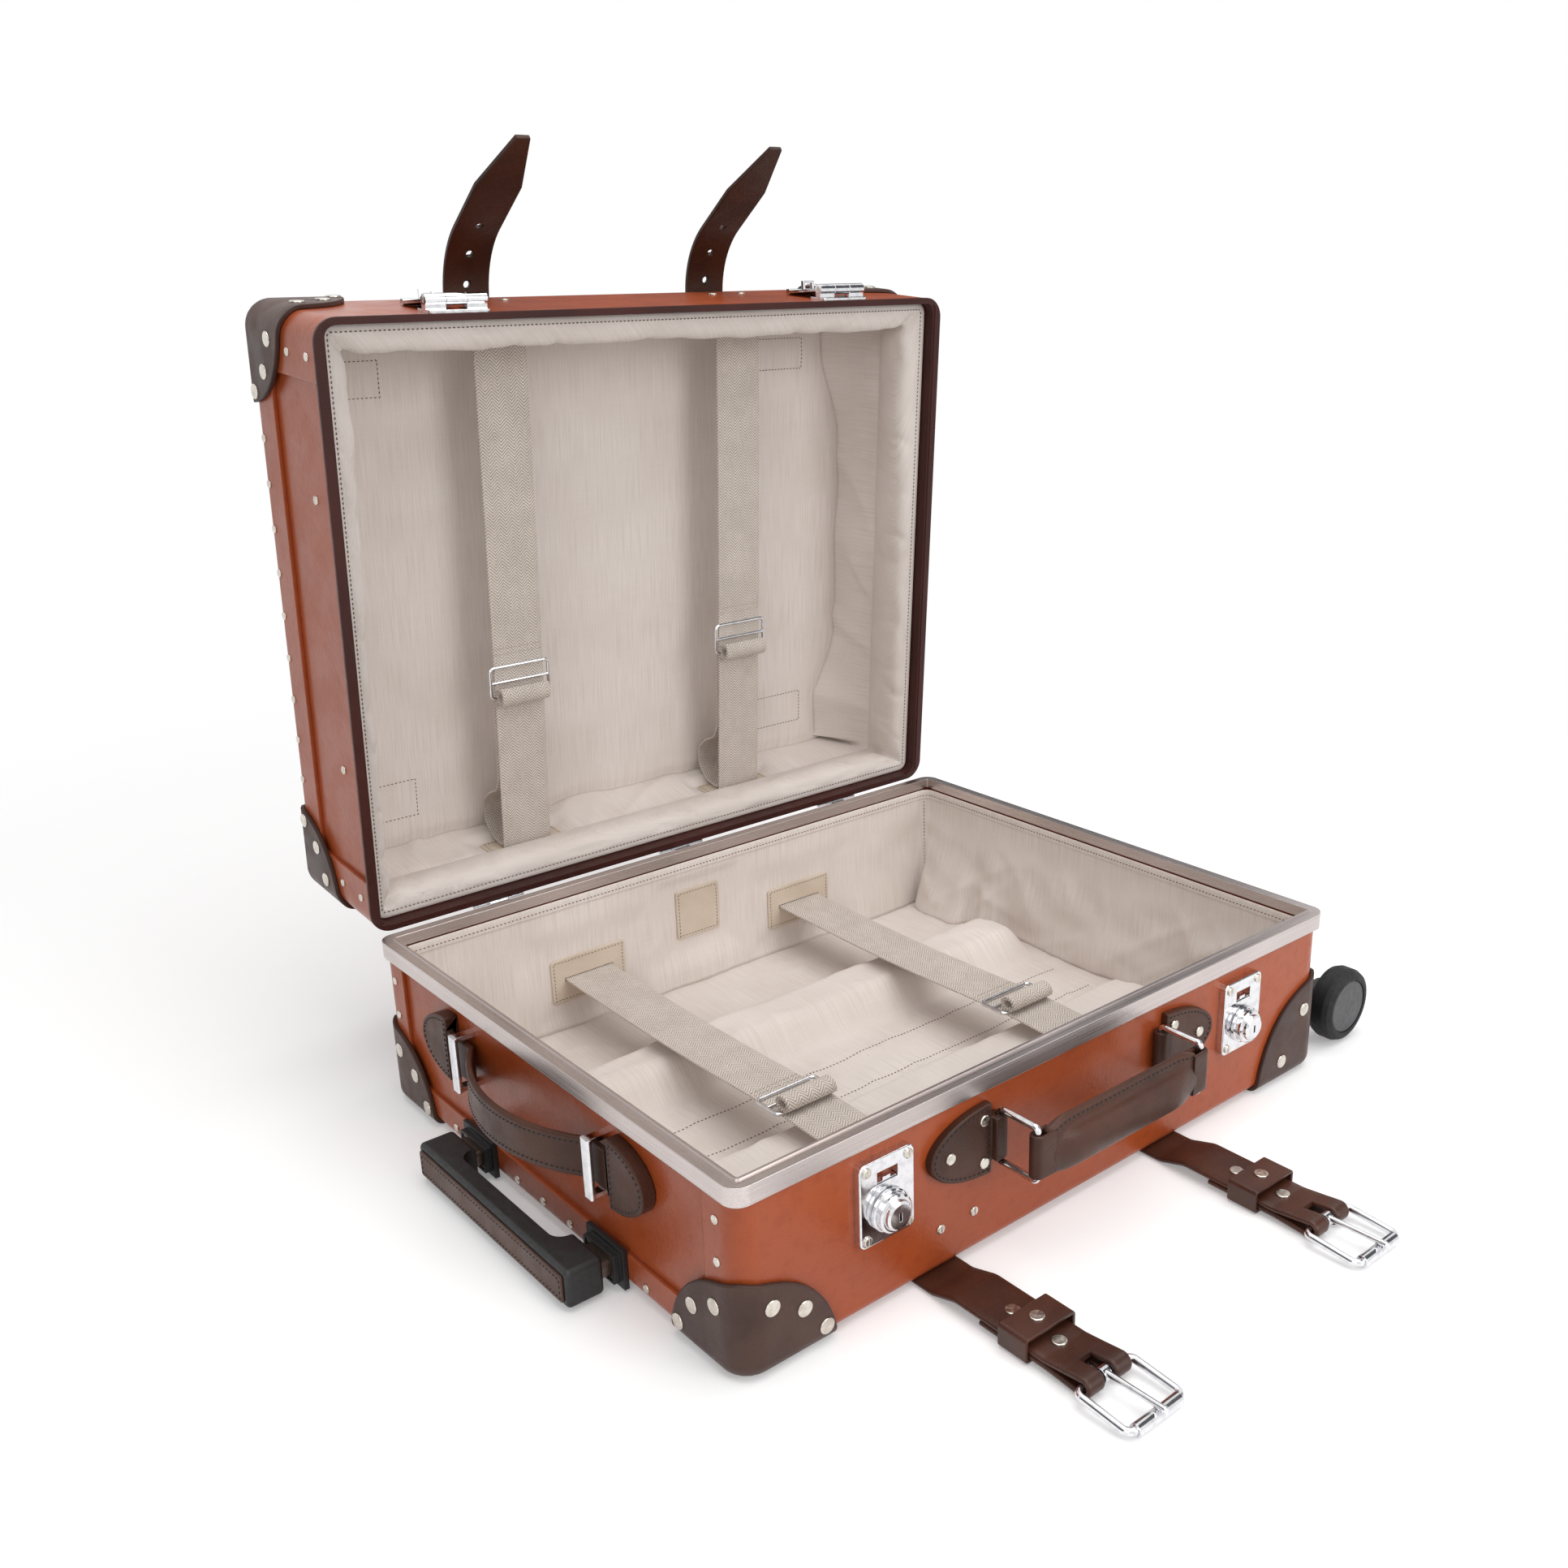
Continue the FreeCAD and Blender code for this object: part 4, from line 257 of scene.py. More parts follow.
def welded(name, node, finish, rounding=0.0006):
    """A piece in the shape of a construction solid, its skin closed and its edges rounded."""
    sharp = radians(32)
    skin = bmesh.new()
    skin.from_mesh(frame["nodes"][node].data)
    bmesh.ops.remove_doubles(skin, verts=skin.verts, dist=2e-5)
    bmesh.ops.dissolve_limit(skin, angle_limit=radians(0.6), verts=skin.verts, edges=skin.edges)
    for face in skin.faces:
        face.smooth = True
        face.material_index = 0
    for edge in skin.edges:
        edge.smooth = edge.calc_face_angle(0.0) < sharp
    obj = put_in_scene(name, bpy.data.meshes.new(name))
    skin.to_mesh(obj.data)
    skin.free()
    obj.data.materials.append(finish.material)
    bevel = obj.modifiers.new("edges", "BEVEL")
    bevel.width = rounding
    bevel.segments = 2
    bevel.limit_method = "ANGLE"
    bevel.angle_limit = sharp
    bevel.use_clamp_overlap = False
    belong(obj, frame["nodes"][node]["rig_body"], node)


corner_leather = leather("corner_leather", rgb(80, 56, 48), rgb(62, 42, 37), rgb(22, 16, 15), 0.0022)
welded("leather_corners_of_base", "base_corners", corner_leather)
welded("leather_corners_of_lid", "lid_corners", corner_leather)

# Rivets and screws: nickel-plated steel, low heads with a rounded edge, broad on the corners and small
# along the flaps and strips, and slotted screws that hold the locks and the strap ends.

nickel = Finish("nickel_plate", Metallic=1.0)
tint = nickel.mottle(rgb(218, 212, 202), rgb(190, 183, 172), 180.0, 3.0, 0.35, 0.7)
tint = nickel.mix(nickel.maths("MULTIPLY", nickel.edges(0.0007), 0.5), tint, rgb(235, 231, 224))
nickel.give(Base_Color=tint, Roughness=nickel.between(nickel.noise(420.0, 2.0), 0.3, 0.7, 0.18, 0.34))
nickel.relief((nickel.noise(900.0, 2.0), 0.00002), rounding=0.0004)
dress(nickel, "base_rivets", "lid_rivets", "base_screws", "lid_screws", "handle_rivets", "hinge_pins")

# Linings of the base: a band of cream cotton twill round the walls, hemmed under the rim,
# and a floor cloth over the padded covers of the two trolley channels, sewn down in rows.

MM = 0.001
STRAP_X = 95


def at(x, y, z):
    """A place in millimetres from the middle of the case, in the frame of the part."""
    return Vector((case_centre.x + x * MM, case_centre.y + y * MM, z * MM))


cotton = Finish("cream_cotton", Sheen_Weight=0.12, Sheen_Roughness=0.5, Roughness=0.82, Specular_IOR_Level=0.25)
cloth_run = cotton.node("UVMap", uv_map="cloth").outputs["UV"]
warp = cotton.noise(1.0, 4.0, cotton.run((1500.0, 26.0, 1.0), cloth_run))
weft = cotton.noise(1.0, 3.0, cotton.run((30.0, 1900.0, 1.0), cloth_run))
tint = cotton.mottle(rgb(228, 219, 213), rgb(220, 210, 203), 18.0, 3.0)
tint = cotton.mix(cotton.between(warp, 0.4, 0.68, 0.0, 0.5), tint, rgb(205, 192, 182))
tint = cotton.mix(cotton.between(weft, 0.5, 0.75, 0.0, 0.25), tint, rgb(234, 226, 219))
cotton.give(Base_Color=tint)
threads = cotton.node("TexWave", (("Vector", cloth_run), ("Scale", 620.0), ("Distortion", 1.2)),
                      bands_direction="DIAGONAL").outputs["Fac"]
cotton.relief((cotton.noise(70.0, 3.0), 0.0005), (threads, 0.00006), (warp, 0.00010))


def round_loop(half_x, half_y, radius, step):
    """Places, inward directions and run round a rectangle with round corners, from mid front."""
    corners = []
    for sx, sy, start in ((1, -1, -90), (1, 1, 0), (-1, 1, 90), (-1, -1, 180)):
        for k in range(9):
            angle = radians(start + k * 11.25)
            corners.append((sx * (half_x - radius) + radius * cos(angle),
                            sy * (half_y - radius) + radius * sin(angle)))
    corners = [(0.0, -half_y)] + corners + [(0.0, -half_y)]
    runs = [0.0]
    for a, b in zip(corners, corners[1:]):
        runs.append(runs[-1] + dist(a, b))
    count = int(runs[-1] / step)
    loop = []
    k = 0
    for i in range(count):
        s = runs[-1] * i / count
        while runs[k + 1] < s:
            k += 1
        share = (s - runs[k]) / (runs[k + 1] - runs[k])
        (ax, ay), (bx, by) = corners[k], corners[k + 1]
        long = dist((ax, ay), (bx, by))
        loop.append((ax + (bx - ax) * share, ay + (by - ay) * share, -(by - ay) / long, (bx - ax) / long, s))
    return loop


def cloth_piece(name, rows, runs, ring=False, thick=1.0):
    """A cloth through rows of places; runs are its places on the flat cloth, in millimetres."""
    across = len(rows[0])
    faces = []
    for r in range(len(rows) - 1):
        for c in range(across if ring else across - 1):
            d = (c + 1) % across
            faces.append((r * across + c, r * across + d, (r + 1) * across + d, (r + 1) * across + c))
    mesh = bpy.data.meshes.new(name)
    mesh.from_pydata([place for row in rows for place in row], [], faces)
    flat = mesh.uv_layers.new(name="cloth")
    for face in mesh.polygons:
        for k, loop in enumerate(face.loop_indices):
            r, c = divmod(face.vertices[k], across)
            u, v = runs[r][c]
            if ring and c == 0 and face.vertices[(k + 2) % 4] % across == across - 1:
                u = u + runs[r][across - 1][0] * across / (across - 1)
            flat.data[loop].uv = (u * MM, v * MM)
        face.use_smooth = True
    mesh.materials.append(cotton.material)
    obj = put_in_scene(name, mesh)
    if thick:
        body = obj.modifiers.new("thickness", "SOLIDIFY")
        body.thickness = thick * MM
        body.offset = -1.0
    return obj


def smooth(value, low, high):
    """0 below low, 1 above high, with soft ends."""
    t = min(max((value - low) / (high - low), 0.0), 1.0)
    return t * t * (3 - 2 * t)


def lump(x, y, z, size, seed=0.0):
    """Even-running unevenness from -1 to 1."""
    return noise.noise(Vector((x / size + seed, y / size - 2 * seed, z / size + 0.37 * seed)))


def fold(x, y, z, size, seed=0.0):
    """Narrow soft ridges from 0 to 1, as slack cloth makes."""
    return max(0.0, 1 - 4.5 * abs(lump(x, y, z, size, seed))) ** 1.5


WALL_X, WALL_Y, WALL_RADIUS = 232.7, 187.7, 9.5
HEM_TOP, HEM_FOOT, FLOOR, RIDGE_Y = 104.7, 95.8, 7.8, 72
RIM_STEP_X, RIM_STEP_Y = 0.6, 2.6


def near_fittings(x, y, z):
    """1 where the wall cloth is held flat by a patch or a strap end, 0 away from them."""
    from_strap = abs(abs(x) - STRAP_X)
    held = 0.0
    if y > 150:
        for aside, half_width, foot, top in ((from_strap, 33, 22, 64), (abs(x), 22, 40, 86)):
            held = max(held, 1 - smooth(max(aside - half_width, foot - z, z - top, 0.0), 0, 22))
    if y < -150:
        held = 1 - smooth(max(from_strap - 20, z - 40, 0.0), 0, 18)
    return held * (1 - smooth(z, 88.0, 95.0))


def base_wall_slack(x, y, z, nx, ny):
    """How far the wall cloth stands in from the board: held at the rim, slack towards the floor."""
    low = min(max((HEM_FOOT - z) / (HEM_FOOT - FLOOR), 0.0), 1.0)
    end_foot = 6.5 + 3.0 * lump(y, 0, 0, 44, 1.9)
    end_dents = 5.0 * lump(0.7 * y + 0.75 * z, 1.5 * z - 0.5 * y, 0, 36, 4.3)
    end_dents += 2.4 * fold(y * 0.8 + z, z * 0.4, 0, 40, 6.2)
    if x > 0:
        end_foot += 14.0 * smooth(y, 84, 104) - 9.0 * smooth(y, 106, 116) + 15.0 * smooth(y, 120, 129)
        end_foot -= 7.0 * smooth(y, 156, 184)
        end_dents += 3.0 * fold(y - 0.9 * z, z * 0.5 + y * 0.2, 0, 52, 2.4)
    long_foot = 3.6 + 3.0 * lump(x, 0, 0, 40, 3.1)
    long_dents = 3.4 * lump(x, 1.3 * z, 0, 52, 7.7) + 1.8 * fold(x * 0.9, z * 0.5, 0, 46, 9.1)
    loose = smooth(low, 0.02, 0.45)
    end = RIM_STEP_X * (1 - loose) + loose * max(0.3, end_foot * low ** 1.8 + end_dents * (1 - 0.5 * low) + 1.6)
    long = RIM_STEP_Y * (1 - loose) + loose * max(0.3, long_foot * low ** 1.8 + long_dents * (1 - 0.5 * low) + 1.2)
    slack = end * nx * nx + long * ny * ny
    held = near_fittings(x, y, z)
    return slack * (1 - held) + 0.1


def hemmed_slack(x, y, z, nx, ny):
    """The slack with the thickness of the hem added under the rim."""
    hem = 0.8 * smooth(z, HEM_TOP - 8.2, HEM_TOP - 7.2) - 0.4 * smooth(z, HEM_TOP - 1.0, HEM_TOP)
    return base_wall_slack(x, y, z, nx, ny) + hem


def wall_rows(levels, slack_at, place):
    """Rows of places round the walls, one at each level, and the same places on the flat cloth."""
    rows, runs = [], []
    for z in levels:
        row = []
        for x, y, nx, ny, s in wall_loop:
            slack = slack_at(x, y, z, nx, ny)
            row.append(place(x + nx * slack, y + ny * slack, z))
        rows.append(row)
        runs.append([(spot[-1], z) for spot in wall_loop])
    return rows, runs


wall_loop = round_loop(WALL_X, WALL_Y, WALL_RADIUS, 3.5)
levels = [HEM_TOP - drop for drop in (0.0, 0.3, 1.0, 2.6, 4.6, 6.4, 7.2, 7.7, 8.2, 9.0)]
levels += [levels[-1] - k * (levels[-1] - FLOOR + 1.0) / 30 for k in range(1, 31)]
base_walls = cloth_piece("base_wall_lining", *wall_rows(levels, hemmed_slack, at), ring=True)
belong(base_walls, "base", "base_lining")


def floor_height(x, y):
    """The floor cloth: flat, with a soft cover over each trolley channel, sunk along the walls."""
    z = FLOOR + 0.5
    for ridge in (-RIDGE_Y, RIDGE_Y):
        cover = smooth(38 - abs(y - ridge) + 2.0 * lump(x, y, 0, 50, 4), 0, 27)
        ends = smooth(219 - x + 5 * lump(y, x, 0, 30, 8), 0, 24)
        z += 21.6 * cover * ends
    slack = max(0.0, 1.8 * lump(x, y, 0, 46, 2.3) + 1.0 * lump(x, y, 0, 19, 6.1)) + 1.3 * fold(x, y * 1.4, 0, 60, 3.3)
    z += slack * smooth(min(230 - abs(x), 185 - abs(y)), 0, 14)
    end = WALL_X - abs(x) - base_wall_slack(copysign(WALL_X, x), y, FLOOR, 1, 0)
    long = WALL_Y - abs(y) - base_wall_slack(x, copysign(WALL_Y, y), FLOOR, 0, 1)
    return z - 1.6 * (1 - smooth(min(end, long), 0.0, 5.0))


def cloth_rows(half_x, half_y, across, along, place, height):
    """Rows of places over a cloth, from half_x and half_y to the far corner, and the same places when flat."""
    rows, runs = [], []
    for j in range(along + 1):
        y = half_y - 2 * half_y * j / along
        run = [(half_x - 2 * half_x * i / across, y) for i in range(across + 1)]
        rows.append([place(x, y, height(x, y)) for x, y in run])
        runs.append(run)
    return rows, runs


base_floor = cloth_piece("base_floor_lining", *cloth_rows(232.3, 187.3, 150, 122, at, floor_height))
belong(base_floor, "base", "base_lining")

stitch_row = bpy.data.node_groups.new("stitch_row", "GeometryNodeTree")
stitch_sizes = {}
for label, kind in (("Line", "NodeSocketGeometry"), ("Pitch", "NodeSocketFloat"), ("Length", "NodeSocketFloat"),
                    ("Thickness", "NodeSocketFloat"), ("Thread", "NodeSocketMaterial")):
    stitch_sizes[label] = stitch_row.interface.new_socket(label, in_out="INPUT", socket_type=kind)
stitch_row.interface.new_socket("Stitches", in_out="OUTPUT", socket_type="NodeSocketGeometry")
add_node = stitch_row.nodes.new
given = add_node("NodeGroupInput")
line = add_node("GeometryNodeMeshToCurve")
places = add_node("GeometryNodeCurveToPoints")
places.mode = "LENGTH"
turned = add_node("FunctionNodeAlignRotationToVector")
turned.axis = "Z"
bead = add_node("GeometryNodeMeshUVSphere")
for label, value in (("Segments", 6), ("Rings", 4), ("Radius", 0.5)):
    bead.inputs[label].default_value = value
shape = add_node("ShaderNodeCombineXYZ")
laid = add_node("GeometryNodeInstanceOnPoints")
real = add_node("GeometryNodeRealizeInstances")
even = add_node("GeometryNodeSetShadeSmooth")
dyed = add_node("GeometryNodeSetMaterial")
done = add_node("NodeGroupOutput")
for source, give, target, take in (
        (given, "Line", line, "Mesh"), (line, "Curve", places, "Curve"), (given, "Pitch", places, "Length"),
        (places, "Tangent", turned, "Vector"), (places, "Points", laid, "Points"), (bead, "Mesh", laid, "Instance"),
        (turned, "Rotation", laid, "Rotation"), (given, "Thickness", shape, "X"), (given, "Thickness", shape, "Y"),
        (given, "Length", shape, "Z"), (shape, "Vector", laid, "Scale"), (laid, "Instances", real, "Geometry"),
        (real, "Geometry", even, "Geometry"), (even, "Geometry", dyed, "Geometry"),
        (given, "Thread", dyed, "Material"), (dyed, "Geometry", done, "Stitches")):
    stitch_row.links.new(source.outputs[give], target.inputs[take])


def thread(name, colour, dark):
    """Waxed sewing thread: a tight twist with light and dark plies."""
    made = Finish(name, Roughness=0.7, Sheen_Weight=0.1)
    made.give(Base_Color=made.mottle(colour, dark, 2600.0, 2.0, 0.35, 0.65))
    made.relief((made.noise(3200.0, 2.0), 0.00005))
    return made


def sew(name, lines, body, thread_finish, pitch, length, thickness):
    """Rows of stitches along lines of places, as one plain mesh on one body."""
    corners, edges = [], []
    for run in lines:
        first = len(corners)
        corners += run
        edges += [(k, k + 1) for k in range(first, len(corners) - 1)]
    mesh = bpy.data.meshes.new(name)
    mesh.from_pydata(corners, edges, [])
    obj = put_in_scene(name, mesh)
    rows = obj.modifiers.new("stitches", "NODES")
    rows.node_group = stitch_row
    for label, value in (("Pitch", pitch * MM), ("Length", length * MM), ("Thickness", thickness * MM),
                         ("Thread", thread_finish.material)):
        rows[stitch_sizes[label].identifier] = value
    graph = bpy.context.evaluated_depsgraph_get()
    plain = bpy.data.meshes.new_from_object(obj.evaluated_get(graph))
    obj.modifiers.clear()
    obj.data = plain
    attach(obj, body)


def on_base_wall(spot, z, lift):
    """A place on the wall cloth of the base, lifted off it a little."""
    x, y, nx, ny, s = spot
    slack = base_wall_slack(x, y, z, nx, ny) + lift
    return at(x + nx * slack, y + ny * slack, z)


cream_thread = thread("cream_thread", rgb(118, 100, 86), rgb(92, 77, 66))
hem_row = [on_base_wall(spot, HEM_TOP - 4.6, 0.95) for spot in wall_loop + wall_loop[:1]]
floor_rows = [[at(x, y, floor_height(x, y) + 0.15) for x in range(-205, 206, 4)] for y in (-23, 13)]
corner = min(wall_loop, key=lambda spot: abs(spot[0] - spot[1] - WALL_X + WALL_Y) - (spot[0] + spot[1]))
corner_seam = [on_base_wall(corner, z, 0.2) for z in range(10, 95, 3)]
sew("base_lining_stitches", [hem_row, *floor_rows, corner_seam], "base", cream_thread, 2.9, 1.7, 0.8)

# Lining of the lid: a cotton panel over the top board, a wall band with slack folds,
# and a padded roll round the mouth, set back inside the binding and hemmed with one row of stitches.

hinge = next(j for j in frame["joints"] if j["name"] == "lid_hinge")
pivot = Vector(hinge["pos_m"])
opened = radians(hinge["range_deg"][1])
lid_turn = Matrix.Translation(pivot) @ Matrix.Rotation(-opened, 4, "X") @ Matrix.Translation(-pivot)


def in_lid(x, y, z):
    """A place in millimetres on the shut lid, carried to the open lid."""
    return lid_turn @ at(x, y, z)


LID_ROOF, LID_WALL_START, LID_STRAP_Z = 206.7, 152.5, 171.5


def lid_wall_slack(x, y, z, nx, ny):
    """How far the lid's wall cloth stands in: tight under the roll, slack towards the panel."""
    deep = min(max((z - LID_WALL_START) / (LID_ROOF - LID_WALL_START), 0.0), 1.0)
    end_foot = 9.5 + 21.0 * (smooth(-y, 78, 150) + smooth(y, 84, 150)) + 1.4 * lump(y, 0, 0, 34, 5.2)
    end_dents = 2.8 * lump(y * 0.7, z * 0.8, 0, 46, 2.6) + 2.4 * fold(y + 0.8 * z, z * 0.5, 0, 56, 8.8)
    long_foot = 6.0 + 1.6 * lump(x, 0, 0, 36, 4.4)
    long_dents = 2.6 * lump(x, z * 1.2, 0, 50, 11.2) + 2.4 * fold(x - 0.7 * z, z * 0.6, 0, 58, 6.9)
    from_strap = abs(abs(x) - STRAP_X)
    long_dents *= smooth(from_strap, 26, 48)
    shown = smooth(deep, 0.0, 0.35)
    end = 2.6 + max(-2.2, end_foot * deep ** 1.5 + end_dents * shown)
    long = 2.6 + max(-2.2, long_foot * deep ** 1.5 + long_dents * shown)
    held = (1 - smooth(from_strap, 30, 44)) * (1 - smooth(abs(z - LID_STRAP_Z), 16, 24))
    long = long * (1 - held) + 0.2 * held
    return end * nx * nx + long * ny * ny


levels = [LID_WALL_START + k * (LID_ROOF - 0.2 - LID_WALL_START) / 24 for k in range(25)]
lid_walls = cloth_piece("lid_wall_lining", *wall_rows(levels[::-1], lid_wall_slack, in_lid), ring=True)
belong(lid_walls, "lid", "lid_lining")


def panel_level(x, y):
    """Height of the panel cloth on the shut lid: drawn tight, sunk along the wall band."""
    end = WALL_X - abs(x) - lid_wall_slack(copysign(WALL_X, x), y, LID_ROOF, 1, 0)
    long = WALL_Y - abs(y) - lid_wall_slack(x, copysign(WALL_Y, y), LID_ROOF, 0, 1)
    inner = smooth(min(end, long), 0, 9)
    dents = 0.8 * lump(x, y, 0, 60, 5.5) + 0.7 * fold(x * 0.5, y, 0, 70, 1.2) * smooth(min(end, long), 70, 10)
    return LID_ROOF - 0.3 - inner * (2.2 + dents)


lid_panel = cloth_piece("lid_panel_lining", *cloth_rows(231.5, -186.5, 132, 106, in_lid, panel_level))
belong(lid_panel, "lid", "lid_lining")

HEM_INSET, HEM_LEVEL = 11.5, 121.5
MOUTH_X, MOUTH_Y, MOUTH_RADIUS = 240.0, 195.0, 14.0
ROLL_LINE = ((6.8, 122.5), (7.6, 121.7), (9.5, 121.5), (11.5, 121.8), (13.0, 121.6), (15.0, 121.9), (18.5, 122.7),
             (22.0, 124.5), (24.6, 127.1), (26.0, 131.0), (26.2, 135.5), (25.6, 140.5), (24.2, 146.0), (22.0, 151.5),
             (19.4, 156.5), (16.4, 160.9), (13.4, 164.5), (11.0, 166.5), (8.0, 164.5), (7.4, 156.5), (7.0, 146.5),
             (6.8, 137.5), (6.6, 129.0), (6.85, 126.9), (6.85, 124.5))


def mitred_loop(inset):
    """Places round the mouth at one inset from the ends; each stays on its own mitre line at every inset."""
    long_count, short_count, arc_count = 180, 144, 5
    half_x, half_y = MOUTH_X - inset, MOUTH_Y - inset
    radius = max(MOUTH_RADIUS - inset, 2.0)
    places = []
    for sx, turn in ((0, 0), (1, 90), (0, 180), (-1, 270)):
        count = long_count if sx == 0 else short_count
        reach = (half_x if sx == 0 else half_y) - radius
        out = half_y if sx == 0 else half_x
        for k in range(count + arc_count):
            if k <= count:
                px, py = -reach + 2 * reach * k / count, -out
            else:
                angle = radians(-90 + 90 * (k - count) / arc_count)
                px, py = reach + radius * cos(angle), -out + radius + radius * sin(angle)
            c, s = cos(radians(turn)), sin(radians(turn))
            to_corner = min(count - min(k, count), min(k, count)) / count * 2 * reach
            places.append((px * c - py * s, px * s + py * c, to_corner))
    return places


rows, runs = [], []
across = 0.0
for k, (inset, z) in enumerate(ROLL_LINE):
    before, after = ROLL_LINE[k - 1], ROLL_LINE[(k + 1) % len(ROLL_LINE)]
    long = dist(before, after)
    out_inset, out_z = (after[1] - before[1]) / long, -(after[0] - before[0]) / long
    across += dist(before, (inset, z)) if k else 0.0
    free = smooth(inset, 12.5, 18.0) * smooth(z, 164.5, 154.5)
    edge = exp(-((inset - 14.0) / 3.0) ** 2) * smooth(z, 132, 126)
    row, run = [], []
    along = 0.0
    for (x, y, corner), (x1, y1, _) in zip(mitred_loop(inset), mitred_loop(inset + 1.0)):
        swell = 1.5 * lump(x, y, z * 0.5, 42, 6.6) + 0.9 * lump(x, y, z * 0.6, 17, 2.1)
        swell -= 1.6 * fold(x, y, z * 0.3, 30, 9.4)
        near = exp(-(corner / 26.0) ** 2)
        swell -= near * (1.4 * fold(x + y, x - y, z, 16, 5.1) + 0.4)
        swell -= 2.4 * exp(-(corner / 3.5) ** 2)
        pucker = 0.5 * lump(x, y, 0, 5.2, 3.0)
        move = free * swell + edge * pucker
        hang = 0.6 + 0.4 * smooth(-y, -60, 190)
        shift = (hang - 1) * max(inset - 12.0, 0.0) + out_inset * move
        row.append(in_lid(x + (x1 - x) * shift, y + (y1 - y) * shift, z + out_z * move))
        if run:
            along += dist((x, y), (last_x, last_y))
        last_x, last_y = x, y
        run.append((along, across))
    rows.append(row)
    runs.append(run)
rows.append(rows[0])
runs.append([(u, across + 2.0) for u, v in runs[0]])
lid_roll = cloth_piece("lid_padded_roll", rows[::-1], runs[::-1], ring=True, thick=0)
seam = bmesh.new()
seam.from_mesh(lid_roll.data)
bmesh.ops.remove_doubles(seam, verts=seam.verts, dist=1e-6)
bmesh.ops.recalc_face_normals(seam, faces=seam.faces)
seam.to_mesh(lid_roll.data)
seam.free()
belong(lid_roll, "lid", "lid_lining")

hem_row = [in_lid(x, y, HEM_LEVEL) for x, y, corner in mitred_loop(HEM_INSET)]
sew("lid_hem_stitches", [hem_row + hem_row[:1]], "lid", cream_thread, 2.9, 1.7, 0.85)


def outline(x, z, half_x, half_z, inset=2.3, count=12):
    """Places round a sewn rectangle, one corner after another, with its first place again at the end."""
    half_x, half_z = half_x - inset, half_z - inset
    corners = [(x - half_x, z - half_z), (x + half_x, z - half_z), (x + half_x, z + half_z), (x - half_x, z + half_z)]
    places = []
    for (ax, az), (bx, bz) in zip(corners, corners[1:] + corners[:1]):
        places += [(ax + (bx - ax) * k / count, az + (bz - az) * k / count) for k in range(count)]
    return places + places[:1]


boxes = []
for x, y, half_x, half_y in ((-189, -144.5, 25, 11.5), (154, -145.5, 26, 11.5), (-188, 144.5, 26, 13.5),
                             (155, 144, 27, 13)):
    boxes.append([in_lid(px, py, panel_level(px, py) - 0.15) for px, py in outline(x, y, half_x, half_y, 0)])
sew("lid_panel_stitches", boxes, "lid", cream_thread, 2.9, 1.7, 0.7)

# Packing straps: two herringbone cotton webs in each half, threaded through a wire slide,
# the cut end rolled back and the far end sewn down behind a leather patch.

webbing = Finish("herringbone_webbing", Sheen_Weight=0.1, Sheen_Roughness=0.5, Roughness=0.88)
web_run = webbing.node("UVMap", uv_map="cloth").outputs["UV"]
apart = webbing.node("SeparateXYZ", (("Vector", web_run),)).outputs
chevron = webbing.maths("PINGPONG", apart["X"], 0.0046)
slant = webbing.maths("ADD", apart["Y"], chevron)
ribs = webbing.maths("PINGPONG", slant, 0.0011)
ribs = webbing.between(ribs, 0.0, 0.0011)
yarn = webbing.noise(1.0, 3.0, webbing.run((1400.0, 120.0, 1.0), web_run))
tint = webbing.mottle(rgb(228, 217, 208), rgb(216, 205, 196), 50.0, 3.0)
# painted shade: the webbing is darkened in the grooves between the herringbone ribs
tint = webbing.mix(webbing.between(ribs, 0.0, 1.0, 0.75, 0.0), tint, rgb(132, 119, 108))
tint = webbing.mix(webbing.between(yarn, 0.45, 0.75, 0.0, 0.35), tint, rgb(226, 214, 203))
webbing.give(Base_Color=tint)
webbing.relief((ribs, 0.0003), (yarn, 0.0001))


def strip(name, line, side, width, thick, finish, round_edge=0.5):
    """A flat strap with rounded edges along a line of places; side is its width direction."""
    half, rise = width / 2, thick / 2
    edge = min(round_edge, rise)
    top = [((-1 + 2 * k / 8) * (half - edge), rise) for k in range(9)]
    top += [(half - edge * 0.3, rise - edge * 0.3), (half, rise - edge), (half, edge - rise),
            (half - edge * 0.3, edge * 0.3 - rise)]
    section = top + [(-a, -b) for a, b in top]
    skin = bmesh.new()
    flat = skin.loops.layers.uv.new("cloth")
    side = Vector(side).normalized()
    rings, run = [], 0.0
    for i, place in enumerate(line):
        before, after = line[max(i - 1, 0)], line[min(i + 1, len(line) - 1)]
        up = side.cross((after - before).normalized()).normalized()
        if i:
            run += (place - line[i - 1]).length
        rings.append(([skin.verts.new(place + side * (a * MM) + up * (b * MM)) for a, b in section], run))
    for (one, run_one), (two, run_two) in zip(rings, rings[1:]):
        for k in range(len(section)):
            m = (k + 1) % len(section)
            face = skin.faces.new((one[k], one[m], two[m], two[k]))
            face.smooth = True
            for loop, (c, v) in zip(face.loops, ((k, run_one), (m, run_one), (m, run_two), (k, run_two))):
                loop[flat].uv = (section[c][0] * MM + 0.1, v)
    for ring, run in (rings[0], rings[-1]):
        face = skin.faces.new(ring if run else ring[::-1])
        for loop, (a, b) in zip(face.loops, section):
            loop[flat].uv = (a * MM + 0.1, run + b * MM)
    bmesh.ops.recalc_face_normals(skin, faces=skin.faces)
    for e in skin.edges:
        e.smooth = e.calc_face_angle(0.0) < radians(50)
    mesh = bpy.data.meshes.new(name)
    skin.to_mesh(mesh)
    skin.free()
    mesh.materials.append(finish.material)
    return put_in_scene(name, mesh)


